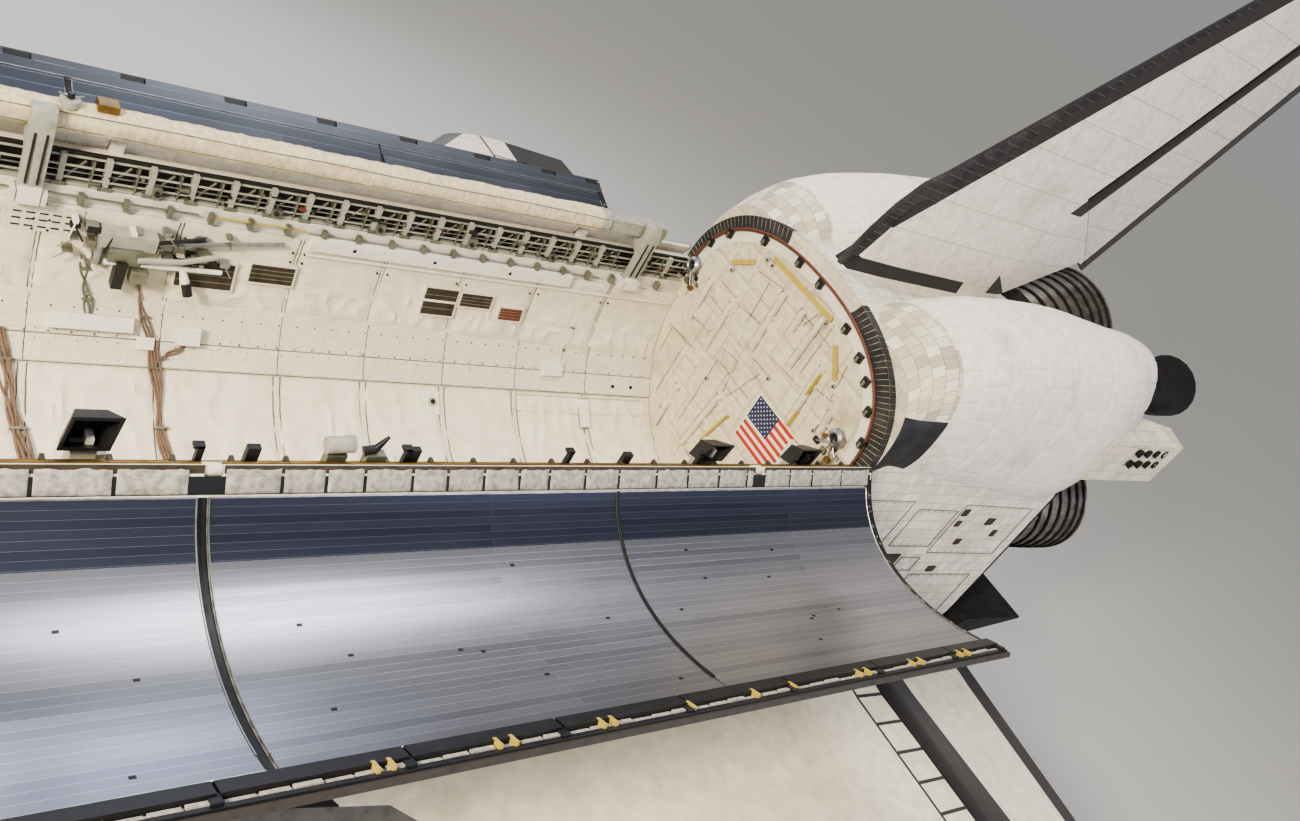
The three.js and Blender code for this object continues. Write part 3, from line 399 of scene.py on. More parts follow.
@dataclass(frozen=True)
class Cloth(Finish):
    """Woven glass or coated felt over batting: matt, wrinkled, soiled in broad patches, with painted shade in
    the low parts of its folds.

    A thread is under 1 mm, so the weave is drawn as threads of 6 mm.
    """

    light: str = "E3DDCC"
    shade: str = "C9C1AC"
    soil: str = "8F8672"
    wrinkle: float = 7.0
    stretch: Point = (1.0, 1.0, 1.0)
    quilt_mm: float = 0.0
    panel_mm: float = 0.0
    soiled: float = 0.5
    zones: tuple[tuple[Cut, ...], ...] = ()
    zone_colour: str = "222225"

    def dress(self, ground: Ground, shader: bpy.types.Node) -> None:
        """Wrinkles whose low parts are darkened as painted shade, a weave and the lines of its stitching."""
        folds = ground.spots(self.wrinkle, 6, self.stretch)
        broad = ground.spots(30, 4)
        # painted shade: the colour follows the folds' relief, darker where the folds are low
        colour = ground.mix(ground.ranged(folds, 0.35, 0.65), hex_colour(self.shade), hex_colour(self.light))
        colour = ground.mix(ground.ranged(broad, 0.55, 0.85, 0, self.soiled), colour, hex_colour(self.soil))
        weave = ground.math("MULTIPLY", ground.spots(6 * MM, 1), 0.12)
        relief = ground.math("ADD", folds, weave)
        quilting = (self.quilt_mm, 4.0, 0.25, 0.0)
        panelling = (self.panel_mm, 9.0, 0.7, 0.5)
        for size_mm, width_mm, depth, offset in (quilting, panelling):
            if not size_mm:
                continue
            size = (size_mm * MM * 1.4, size_mm * MM)
            lines = ground.bricks(size, width_mm * MM, smooth=0.5, offset=offset).outputs["Fac"]
            relief = ground.math("SUBTRACT", relief, ground.math("MULTIPLY", lines, depth))
            colour = ground.mix(ground.math("MULTIPLY", lines, depth), colour, hex_colour(self.soil))
        if self.zones:
            colour = ground.mix(ground.zone(self.zones), colour, hex_colour(self.zone_colour))
        put(ground, shader, colour, 0.88, relief, depth_mm=9.0)
        shader.inputs["Sheen Weight"].default_value = 0.15


@dataclass(frozen=True)
class Metal(Finish):
    """Bare or anodised metal: machining marks along x, a thin film of dirt, duller in patches."""

    colour: str = "A9AAAC"
    film: str = "6B6860"
    rough: Pair = (0.32, 0.52)
    metallic: float = 1.0
    dirt: float = 0.5

    def dress(self, ground: Ground, shader: bpy.types.Node) -> None:
        """Marks along x over broad patches."""
        marks = ground.spots(0.35, 3, (14, 1, 1))
        patches = ground.spots(6, 4)
        cover = ground.ranged(patches, 0.45, 0.75, 0.0, self.dirt)
        colour = ground.mix(cover, hex_colour(self.colour), hex_colour(self.film))
        put(ground, shader, colour, ground.ranged(marks, 0.3, 0.7, *self.rough), marks, depth_mm=0.5)
        shader.inputs["Metallic"].default_value = self.metallic


@dataclass(frozen=True)
class Paint(Finish):
    """Sprayed epoxy paint: even and satin, with soft dirt and fine orange peel."""

    colour: str = "D8D6CC"
    soil: str = "8C877A"
    rough: float = 0.5
    dirt: float = 0.35

    def dress(self, ground: Ground, shader: bpy.types.Node) -> None:
        """Soft dirt on an even coat."""
        patches = ground.ranged(ground.spots(5, 5), 0.48, 0.8, 0.0, self.dirt)
        colour = ground.mix(patches, hex_colour(self.colour), hex_colour(self.soil))
        rough = ground.ranged(patches, 0, 1, self.rough, self.rough + 0.25)
        put(ground, shader, colour, rough, ground.spots(3 * MM, 2), depth_mm=0.25)


@dataclass(frozen=True)
class SilverFilm(Finish):
    """Silvered plastic film in strips on honeycomb panels: mirror-like, hazed, with seams along x.

    A strip is 100 mm wide, and wider on the far door. Its seam is under 1 mm, and is drawn 3.6 mm wide.
    """

    colour: str = "C6C9D6"
    shade: str = "8F95AA"
    seam: str = "3E4250"
    strip_mm: float = 100.0
    rough: Pair = (0.2, 0.42)
    seam_mm: float = 3.6
    length: float = 178.0

    def dress(self, ground: Ground, shader: bpy.types.Node) -> None:
        """Long strips of film with thin seams painted bright as glints, brushed along x."""
        size, colours = (self.length, self.strip_mm * MM), (self.colour, self.shade, self.seam)
        # painted highlight: the films below give their seams a light colour, which stands for glints along
        # the seams
        strips = ground.bricks(size, self.seam_mm * MM, smooth=0.4, offset=0.37, colours=colours)
        brush = ground.grain(ground.flat, 0.5, 5, (90, 1, 1))
        haze = ground.grain(ground.flat, 34, 3, (2.4, 1, 1))
        streaks = ground.ranged(brush, 0.4, 0.7, 0, 0.3)
        colour = ground.mix(streaks, strips.outputs["Color"], hex_colour(self.shade))
        colour = ground.mix(ground.ranged(haze, 0.45, 0.75, 0, 0.35), colour, hex_colour(self.colour))
        cloudy = ground.ranged(haze, 0.3, 0.7, *self.rough)
        rough = ground.math("ADD", cloudy, ground.ranged(brush, 0.3, 0.7, 0.0, 0.06))
        grooves = ground.math("MULTIPLY", strips.outputs["Fac"], 0.8)
        relief = ground.math("ADD", ground.math("MULTIPLY", brush, 0.12), grooves)
        put(ground, shader, colour, rough, relief, depth_mm=0.5)
        shader.inputs["Metallic"].default_value = 0.92


@dataclass(frozen=True)
class Glass(Finish):
    """Thick fused silica with a clear, sharp shine; its near-black colour is painted shade of the dark cabin
    behind it.
    """

    def dress(self, ground: Ground, shader: bpy.types.Node) -> None:
        """A pane painted near-black as the cabin's shade, which lets some of the cabin through."""
        dust = ground.ranged(ground.spots(4, 4), 0.4, 0.8, 0.04, 0.16)
        put(ground, shader, hex_colour("0B0F14"), dust)
        shader.inputs["IOR"].default_value = 1.46
        shader.inputs["Alpha"].default_value = 0.72


@dataclass(frozen=True)
class Rubber(Finish):
    """Vulcanised tyre rubber with carbon black: soft shine, scuffed grey where it rolls."""

    def dress(self, ground: Ground, shader: bpy.types.Node) -> None:
        """Scuffs on black."""
        scuffs = ground.ranged(ground.spots(1.6, 6), 0.45, 0.75, 0, 0.6)
        colour = ground.mix(scuffs, hex_colour("1A1A1B"), hex_colour("4A4845"))
        rough = ground.ranged(scuffs, 0, 0.6, 0.55, 0.85)
        put(ground, shader, colour, rough, ground.spots(0.4, 3), depth_mm=0.8)


# Fired silica tiles. Their zones are the black areas of the underside, the nose, the windows and the pods.
UNDERSIDE = ((Cut((0, 0, 0), 0.3, (0, 0, -1)),), (Cut((0, 0, -1), -272.5),))
WINDOW_BAND = (Cut((1, 0, 0), 392), Cut((-1, 0, 0), -478), Cut((0, 0, 1), 441), Cut((0.55, 0, -1), -228))
NOSE_FRONT = (Cut((-1, 0, 0), -283),)
NOSE_LOW = (Cut((-0.16, 0, -1), -363), Cut((-1, 0, 0), -420))
NOSE_ZONES = (*UNDERSIDE, WINDOW_BAND, NOSE_FRONT, NOSE_LOW)
NOSE_TILE = SilicaTile("silica_tile_nose", "white_tile", zones=NOSE_ZONES)
SIDE_TILE = SilicaTile("silica_tile_side", "white_tile", zones=UNDERSIDE)
BLACK_TILE = SilicaTile(
    "silica_tile_black", "black_tile", "1C1D20", "2B2C30", "46453F", "09090A", size_mm=152, weather=0.35
)
EDGE_TILE = SilicaTile("silica_tile_edge", "black_tile", "26272A", "38393C", "55534C", "121213", weather=0.4)
POD_TILE = SilicaTile(
    "silica_tile_pod",
    "blanket",
    "E6DFC8",
    "A79F90",
    "847B6E",
    "5C574D",
    weather=0.55,
    zones=((Cut((-1, 0, 0), -1343), Cut((0.2, 0, -1), -207.8), Cut((0, 1, 0), 88)),),
    layout=Layout.FLAT,
)
POD_FACE = SilicaTile("silica_tile_pod_face", "blanket", "E3DCC8", "C9C2B0", gap="8B8474", weather=0.5)

# Coated felt on the wings, elevons, fin, pods and doors. Zones are tile borders, lines and black edges.
DOWNWARD = (Cut((0, 0, 0), 0.2, (0, 0, -1)),)
BAND_LINES = (164, 173, 193, 213, 233, 253, 273, 293, 313, 333, 353, 373, 393, 413, 433)
WING_TILE = Cloth(
    "coated_felt_wing",
    "white_tile",
    "E9E3D2",
    "DAD3C0",
    "9F957F",
    wrinkle=8,
    soiled=0.4,
    zones=(
        DOWNWARD,
        (Cut((1, -1.0012, 0), 812), Cut((-1, 1.0012, 0), -846)),
        (Cut((1, 0, 0), 1374), Cut((0, 1, 0), 112)),
        (Cut((1, 0, 0), 1345), Cut((-1, 0, 0), -1347.4), Cut((0, 1, 0), 160)),
        *((Cut((1, 0, 0), 1345), Cut((0, 1, 0), y - 1.1), Cut((0, -1, 0), -y - 1.1)) for y in BAND_LINES),
    ),
)
ELEVON_TILE = Cloth(
    "coated_felt_elevon",
    "white_tile",
    "E6E0D2",
    "D8D1C0",
    "9F957F",
    wrinkle=8,
    soiled=0.35,
    zones=(DOWNWARD, (Cut((-1, 0, 0), -1408),), (Cut((1, 0.146, 0), 1507),)),
)
FIN_ZONES = (
    (Cut((1, 0, -1), 700), Cut((-1, 0, 1), -797.0)),
    (Cut((0, 0, -1), -513), Cut((0, 0, 1), 504), Cut((-1, 0, 0), -1424)),
    (Cut((1, 0, 0), 1455), Cut((-0.62, 0, -1), -1426), Cut((0, 0, 1), 508)),
    (Cut((1, 0, -0.695), 1079), Cut((-1, 0, 0.695), -1093), Cut((0, 0, 1), 578)),
    (Cut((1, 0, -0.4955), 1284.5),),
)
FIN_CLOTH = Cloth(
    "coated_felt_fin", "blanket", "E9E4DC", "D9D2C8", "9A907F", 5, panel_mm=620, soiled=0.4, zones=FIN_ZONES
)
RUDDER_CLOTH = Cloth(
    "coated_felt_rudder",
    "blanket",
    "E6E0D8",
    "D6CEC4",
    "9A907F",
    wrinkle=5,
    panel_mm=560,
    soiled=0.4,
    zones=FIN_ZONES,
)
POD_CLOTH = Cloth("coated_felt_pod", "blanket", "ECE8E0", "DDD8CE", "857C6E", 5, soiled=0.6)
POD_SEAM = Cloth("pod_seam_thread", "blanket", "CFC9BD", "B8B2A6", "857D70", 3)
FELT = Cloth("coated_felt", "blanket", "EAE5DA", "DAD4C6", "9D937F", 4, panel_mm=860, soiled=0.45)
RING_FELT = Cloth("felt_ring", "blanket", "E9E6DC", "DDD9CC", "A79F8E", 30, soiled=0.4)

# Woven glass cloth: the bay's liner, the blankets of its bulkhead, the boom's wrap, the sills and threads.
# The dark thread also draws painted shadow lines beside seams and stiffeners.
LINER = Cloth("beta_cloth_liner", "liner", "E6E0CF", "DCD5C3", "A1977F", stretch=(1.6, 1, 1), soiled=0.35)
LINER_FLAT = Cloth("beta_cloth_flat", "liner", "DFDBCD", "D2CDBD", "A29A86", 2, soiled=0.35)
BULKHEAD_CLOTH = Cloth("bulkhead_blanket", "blanket", "DED6C0", "CFC5AC", "857A60", 4, soiled=0.6)
BOOM_CLOTH = Cloth("boom_wrap", "blanket", "DCD2B6", "C3B797", "84785B", 3.5, (0.6, 1, 1))
SILL_CLOTH = Cloth("sill_blanket", "liner", "B9B6AE", "8F8C86", "5A5750", 2.5, quilt_mm=140)
STITCH_AND_SHADOW = Cloth("seam_thread", "liner", "6E6654", "574F40", "3E382D", 2)

# Silvered plastic film on the radiators: the port side, the starboard side painted darker as a dark
# reflection, and the band by the hinge painted dark as a reflection. Their light seam colours are painted
# glints along the seams.
FILM = SilverFilm(
    "silvered_film", "radiator", "A3A4AC", "8D8E96", "DDDFE6", 100, (0.26, 0.33), layout=Layout.FLAT
)
FAR_FILM = SilverFilm(
    "silvered_film_painted_dark", "radiator", "6A6E75", "595D65", "C2C8D0", 170, (0.3, 0.4), layout=Layout.FLAT
)
REFLECTION_BAND_FILM = SilverFilm(
    "silvered_film_painted_reflection_band", "radiator", "565A69", "494D5C", "8C90A0", 100, (0.34, 0.42), layout=Layout.FLAT
)

# Bare and treated metals: airframe fittings, legs and rims, engine tubes, thrusters, woven vent screens.
ALUMINIUM = Metal("machined_aluminium", "metal")
DULL_ALUMINIUM = Metal("chromated_aluminium", "metal", "8C8E80", "5C5A4C", (0.45, 0.65), 0.85, 0.7)
STEEL = Metal("gear_steel", "metal", "B4B4B2", "6F6C64", (0.28, 0.5))
BRONZE = Metal("chromated_strip", "metal", "5C5344", "38322A", (0.45, 0.65), 0.7, 0.7)
GOLD_ROD = Metal("anodised_rod", "metal", "8E7443", "4C402B", (0.35, 0.55), 0.85, 0.6)
NICKEL = Metal("nickel_alloy_tubes", "bell", "8B8680", "4C4641", (0.35, 0.6), 1.0, 0.7)
NICKEL_DARK = Metal("nickel_alloy_hot", "bell", "4A4644", "2A2725", (0.4, 0.65), 0.9, 0.7)
NIOBIUM = Metal("coated_niobium", "dark_bell", "2C2B2C", "1A1918", (0.5, 0.7), 0.6, 0.5)
VENT_MESH = Metal("vent_screen", "metal", "4E463C", "2B2620", (0.5, 0.7), 0.6, 0.6)

# Sprayed epoxy paint, coated carbon, moulded silicone, cable sleeves and dyed cloth, all even and satin.
CARBON = Paint("coated_carbon", "carbon", "6A6B6A", "45433F", 0.62, 0.7)
GREY_PAINT = Paint("epoxy_grey", "metal", "A3A398", "6A675C", 0.5, 0.5)
WHITE_PAINT = Paint("epoxy_white", "liner", "E6E3DA", "AAA492", 0.45, 0.35)
BLACK_PAINT = Paint("epoxy_black", "metal", "17181A", "2E2D2A", 0.45, 0.5)
YELLOW_PAINT = Paint("epoxy_yellow", "metal", "BBA850", "857840", 0.5, 0.5)
SILL_ENAMEL = Paint("sill_enamel", "metal", "DAD6CA", "A59E8C", 0.5, 0.5)
EDGE_SEAL = Paint("edge_seal", "metal", "3F3C38", "25231F", 0.65, 0.6)
SEAL_RED = Paint("silicone_seal", "metal", "6E3B2A", "3A2A1E", 0.6, 0.6)
COCKPIT = Paint("cabin_grey", "cockpit", "7F878B", "4A4E50", 0.6, 0.3)
CABLE = Paint("cable_sleeve", "metal", "7A6252", "3C2E26", 0.7, 0.6)
HUB = Paint("wheel_enamel", "tyre", "B9BBBC", "55524C", 0.4, 0.6)
FLOOR = Paint("studio_floor", "liner", "C9C8C4", "BDBBB5", 0.7, 0.2)
FLAG_WHITE = Paint("dyed_cloth_white", "blanket", "E4DFD2", "B4AC9A", 0.8, 0.3)
FLAG_RED = Paint("dyed_cloth_red", "blanket", "B8392C", "8A3328", 0.8, 0.3)
FLAG_BLUE = Paint("dyed_cloth_blue", "blanket", "2A3358", "20263F", 0.8, 0.3)

# Fused silica panes and vulcanised rubber.
PANE = Glass("fused_silica", "glass")
TYRE = Rubber("tyre_rubber", "tyre")


def tube_faces(rings: int, sides: int) -> list[tuple[int, ...]]:
    """The faces between rings of corners, each ring closed on itself."""
    return [
        (i * sides + k, i * sides + (k + 1) % sides, (i + 1) * sides + (k + 1) % sides, (i + 1) * sides + k)
        for i in range(rings - 1)
        for k in range(sides)
    ]


def add_bevel(piece: bpy.types.Object, width: float) -> None:
    """Rounds the sharp edges of a piece, by a width in stations."""
    edge = piece.modifiers.new("edges", "BEVEL")
    edge.width, edge.segments, edge.limit_method, edge.angle_limit = width * INCH, 2, "ANGLE", SHARP


class Sketch:
    """Faces collected in stations and made into one piece."""

    def __init__(self, frame: Matrix = STATIONS) -> None:
        """Starts empty.

        Args:
            frame: Turns the sketch's points to the frame's metres.
        """
        self.frame = frame
        self.points: list[Vector] = []
        self.faces: list[tuple[int, ...]] = []
        self.finishes: list[Finish] = []
        self.slots: list[int] = []
        self.flats: list[tuple[Pair, ...]] = []

    def add(
        self,
        points: Iterable[Sequence[float]],
        faces: Iterable[Sequence[int]],
        finish: Finish,
        flats: Sequence[Pair] = (),
    ) -> None:
        """Adds faces.

        Args:
            points: Corners in the sketch's own units.
            faces: Rows of corner numbers.
            finish: What covers them.
            flats: For each corner, its place in lengths along the piece.
        """
        if finish not in self.finishes:
            self.finishes.append(finish)
        slot, start = self.finishes.index(finish), len(self.points)
        self.points.extend(Vector(p) for p in points)
        for face in faces:
            self.faces.append(tuple(start + i for i in face))
            self.slots.append(slot)
            self.flats.append(tuple(flats[i] for i in face) if flats else ())

    def box(self, low: Point, high: Point, finish: Finish) -> None:
        """Adds a box between two corners."""
        corners = [(x, y, z) for x in (low[0], high[0]) for y in (low[1], high[1]) for z in (low[2], high[2])]
        self.add(corners, CUBE, finish)

    def pipe(
        self,
        route: Sequence[Sequence[float]],
        radius: float | Sequence[float],
        finish: Finish,
        sides: int = 8,
    ) -> None:
        """Adds a round pipe along a route.

        Args:
            route: Its centre line.
            radius: One radius, or one for each point of the route.
            finish: What covers it.
            sides: Its number of sides.
        """
        line = [Vector(p) for p in route]
        count = len(line)
        radii = list(radius) if isinstance(radius, (list, tuple)) else [radius] * count
        up = Vector((0, 0, 1))
        points: list[Vector] = []
        for at, before, after, size in zip(line, line[:1] + line, line[1:] + line[-1:], radii):
            way = (after - before).normalized()
            if abs(way.dot(up)) > 0.95:
                up = Vector((1, 0, 0)) if abs(way.x) < 0.9 else Vector((0, 1, 0))
            side = way.cross(up).normalized()
            up = side.cross(way).normalized()
            for k in range(sides):
                angle = 2 * math.pi * k / sides
                points.append(at + (side * math.cos(angle) + up * math.sin(angle)) * size)
        ends = [tuple(reversed(range(sides))), tuple(range((count - 1) * sides, count * sides))]
        self.add(points, tube_faces(count, sides) + ends, finish)

    def beam(self, start: Point, end: Point, size: Pair, finish: Finish) -> None:
        """Adds a straight beam of size (level width, height) between two points.

        Args:
            start: The middle of one end.
            end: The middle of the other.
            size: Its level width and its height.
            finish: What covers it.
        """
        a, b = Vector(start), Vector(end)
        way = (b - a).normalized()
        up = Vector((0, 0, 1)) if abs(way.z) < 0.9 else Vector((1, 0, 0))
        side = way.cross(up).normalized()
        up = side.cross(way).normalized()
        wide, high = side * size[0] / 2, up * size[1] / 2
        rim = (-wide - high, wide - high, wide + high, high - wide)
        self.add([a + p for p in rim] + [b + p for p in rim], PRISM, finish)

    def sheet(
        self,
        place: Callable[[float, float], Sequence[float]],
        across: int,
        along: int,
        finish: Finish,
        spans: Pair = (1.0, 1.0),
        keep: Callable[[float, float], bool] | None = None,
        thick: Callable[[float, float], Sequence[float]] | None = None,
    ) -> None:
        """Adds a grid of faces.

        Args:
            place: The point for two shares, u and v, from 0 to 1.
            across: Faces along u.
            along: Faces along v.
            finish: What covers them.
            spans: The lengths that u and v run over, for patterns laid FLAT.
            keep: Says for a face's middle whether it is there.
            thick: The point on the back, which closes the sheet to a slab.
        """
        us = [i / across for i in range(across + 1)]
        vs = [j / along for j in range(along + 1)]
        flats = [(u * spans[0], v * spans[1]) for u in us for v in vs]
        row = along + 1
        faces = [
            (i * row + j, (i + 1) * row + j, (i + 1) * row + j + 1, i * row + j + 1)
            for i in range(across)
            for j in range(along)
            if keep is None or keep((i + 0.5) / across, (j + 0.5) / along)
        ]
        front = [place(u, v) for u in us for v in vs]
        if thick is None:
            self.add(front, faces, finish, flats)
            return
        back = [thick(u, v) for u in us for v in vs]
        shift = len(front)
        rim = [i * row for i in range(across)] + [across * row + j for j in range(along)]
        rim += [i * row + along for i in range(across, 0, -1)] + list(range(along, 0, -1))
        sides = [(a, a + shift, b + shift, b) for a, b in zip(rim, rim[1:] + rim[:1])]
        backs = [tuple(reversed([i + shift for i in face])) for face in faces]
        self.add(front + back, faces + backs + sides, finish, flats * 2)

    def make(
        self, name: str, body: str, slot: str = "", replaces: Sequence[str] = (), bevel: float = 0.0
    ) -> bpy.types.Object:
        """Makes the piece and hangs it on its body.

        Args:
            name: The piece's name.
            body: The body that it rides on, or nothing for a tool.
            slot: The record's material slot; not used.
            replaces: The nodes that it stands for.
            bevel: The width of its rounded edges in stations.

        Returns:
            The new object.
        """
        mesh = bpy.data.meshes.new(name)
        mesh.from_pydata([self.frame @ p for p in self.points], [], self.faces)
        mesh.polygons.foreach_set("material_index", self.slots)
        if any(self.flats):
            layer = mesh.uv_layers.new(name="flat")
            blank = ((0.0, 0.0),)
            rows = (flats or blank * len(face) for face, flats in zip(self.faces, self.flats))
            corners = [pair for row in rows for pair in row]
            layer.data.foreach_set("uv", [value for pair in corners for value in pair])
        tidy = bmesh.new()
        tidy.from_mesh(mesh)
        bmesh.ops.remove_doubles(tidy, verts=tidy.verts, dist=MERGE)
        bmesh.ops.recalc_face_normals(tidy, faces=tidy.faces)
        tidy.to_mesh(mesh)
        tidy.free()
        for finish in self.finishes:
            mesh.materials.append(finish.material())
        piece = bpy.data.objects.new(name, mesh)
        bpy.context.scene.collection.objects.link(piece)
        if bevel:
            add_bevel(piece, bevel)
        mesh.shade_smooth()
        mesh.set_sharp_from_angle(angle=SHARP)
        if body:
            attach(piece, body)
            slot or self.finishes[0].slot
            if replaces:
                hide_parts(*replaces)
            LOG.info("%s rides on %s", name, body)
        return piece


def carve(piece: bpy.types.Object, tools: Sequence[bpy.types.Object]) -> None:
    """Cuts tools out of a piece and deletes them.

    Args:
        piece: What is cut.
        tools: The shapes to cut away.
    """
    for tool in tools:
        cutter = piece.modifiers.new("cut", "BOOLEAN")
        cutter.object, cutter.operation, cutter.solver = tool, "DIFFERENCE", "EXACT"
    seen = piece.evaluated_get(bpy.context.evaluated_depsgraph_get())
    mesh = bpy.data.meshes.new_from_object(seen)
    piece.modifiers.clear()
    piece.data = mesh
    mesh.shade_smooth()
    mesh.set_sharp_from_angle(angle=SHARP)
    for tool in tools:
        bpy.data.objects.remove(tool)


def dress_node(node: bpy.types.Object, finish: Finish, bevel: float = 0.0) -> None:
    """Gives a CAD node its finish, with smooth curves and, if asked, rounded edges.

    Args:
        node: The node.
        finish: What covers it.
        bevel: The width of its rounded edges in stations.
    """
    mesh = node.data
    mesh.materials.clear()
    mesh.materials.append(finish.material())
    normals = mesh.attributes.get("custom_normal")
    if normals:
        mesh.attributes.remove(normals)
    mesh.polygons.foreach_set("use_smooth", [True] * len(mesh.polygons))
    weld = node.modifiers.new("weld", "WELD")
    weld.merge_threshold = WELD
    if bevel:
        add_bevel(node, bevel)
    split = node.modifiers.new("creases", "EDGE_SPLIT")
    split.split_angle, split.use_edge_sharp = SHARP, False


def smooth_between(xs: Sequence[float], ys: Sequence[float], x: float) -> float:
    """A smooth curve through points that overshoots none of them.

    Args:
        xs: Rising places.
        ys: The value at each.
        x: Where the value is wanted.

    Returns:
        The value there.
    """
    count = len(xs)
    steps = [(ys[i + 1] - ys[i]) / (xs[i + 1] - xs[i]) for i in range(count - 1)]
    inner = [0.0 if a * b <= 0 else 2 * a * b / (a + b) for a, b in zip(steps, steps[1:])]
    slopes = [steps[0], *inner, steps[-1]]
    i = min(max(sum(1 for v in xs if v <= x) - 1, 0), count - 2)
    h = xs[i + 1] - xs[i]
    t = (x - xs[i]) / h
    return (
        ys[i] * (1 + 2 * t) * (1 - t) ** 2
        + slopes[i] * h * t * (1 - t) ** 2
        + ys[i + 1] * t * t * (3 - 2 * t)
        + slopes[i + 1] * h * t * t * (t - 1)
    )


def along(span: Pair, share: float) -> float:
    """The place at a share of the way along a span."""
    return span[0] + (span[1] - span[0]) * share


@dataclass
class Hull:
    """A body lofted through superellipse sections.

    Each row is (x, half width, bottom, widest height, top, upper exponent, lower exponent, y).
    """

    rows: Sequence[tuple[float, ...]]
    around: int = 96
    girth: float = 330.0

    def ring(self, x: float, share: float, grow: float = 0.0) -> Point:
        """The point at a share of the turn round the section at x, grown outwards.

        Args:
            x: The section's station.
            share: The share of the turn, from starboard over the top.
            grow: How far it stands off.

        Returns:
            The point in stations.
        """
        xs = [row[0] for row in self.rows]
        w, b, m, t, up, low, y = (smooth_between(xs, [row[k] for row in self.rows], x) for k in range(1, 8))
        angle = 2 * math.pi * share
        c, s = math.cos(angle), math.sin(angle)
        power = 2 / (up if s >= 0 else low)
        rise = t - m if s >= 0 else m - b
        return (
            x,
            y + math.copysign(abs(c) ** power, c) * (w + grow),
            m + math.copysign(abs(s) ** power, s) * (rise + grow),
        )

    def skin(
        self, sketch: Sketch, finish: Finish, x: Pair, steps: int, closed: bool = False, grow: float = 0.0
    ) -> None:
        """Adds the hull's skin between two stations, with lengths round it and along it.

        Args:
            sketch: Where it goes.
            finish: What covers it.
            x: Its two ends.
            steps: Rings along it.
            closed: Whether its aft end is closed.
            grow: How far it stands off the rows.
        """
        row, run, last = self.around + 1, 0.0, self.ring(x[0], 0.0, grow)
        points, flats = [], []
        for i in range(steps + 1):
            ring = [self.ring(along(x, i / steps), k / self.around, grow) for k in range(row)]
            run += math.dist(ring[0], last)
            last = ring[0]
            points += ring
            flats += [(self.girth * k / self.around, run) for k in range(row)]
        faces = [
            (i * row + k, i * row + k + 1, (i + 1) * row + k + 1, (i + 1) * row + k)
            for i in range(steps)
            for k in range(self.around)
        ]
        if closed:
            faces.append(tuple(range(steps * row, steps * row + self.around)))
        sketch.add(points, faces, finish, flats)


def crown(t: float, inset: float = 0.0) -> Pair:
    """A point (y, z) of the top's line, from 0 degrees at the shoulder to 90 at the crown."""
    a = math.radians(t)
    y = (HALF - inset) * max(math.cos(a), 0.0) ** (2 / SQUARE)
    return y, SHOULDER + (CROWN - inset) * max(math.sin(a), 0.0) ** (2 / SQUARE)


def wall(t: float, height: float = 0.0) -> Pair:
    """A point (y, z) of the bay's round liner, t degrees below its axis, height inside it."""
    a = math.radians(t)
    return (BAY_R - height) * math.cos(a), BAY_Z - (BAY_R - height) * math.sin(a)


def swell(u: float, power: int = 6) -> float:
    """One over most of a span from 0 to 1, falling to zero at its ends."""
    return 1 - abs(2 * u - 1) ** power


def ridge(x: float, y: float, seed: float) -> float:
    """Sharp folds from 0 to 1."""
    warp = noise.noise(Vector((x * 0.6, y * 0.6, seed + 9)))
    return max(1 - abs(noise.noise(Vector((x + warp, y + warp, seed)))) * 2.2, 0) ** 3


def lathe(
    sketch: Sketch, at: Point, way: Point, profile: Sequence[Pair], finish: Finish, sides: int = 48
) -> None:
    """Adds a turned surface.

    Args:
        sketch: Where it goes.
        at: The start of its axis.
        way: The axis' direction.
        profile: Rows of (distance along the axis, radius).
        finish: What covers it.
        sides: Its number of sides.
    """
    axis = Vector(way).normalized()
    side = axis.cross(Vector((0, 1, 0)) if abs(axis.y) < 0.9 else Vector((1, 0, 0))).normalized()
    up = side.cross(axis)
    points = []
    for s, r in profile:
        for k in range(sides):
            a = 2 * math.pi * k / sides
            points.append(Vector(at) + axis * s + (side * math.cos(a) + up * math.sin(a)) * r)
    sketch.add(points, tube_faces(len(profile), sides), finish)


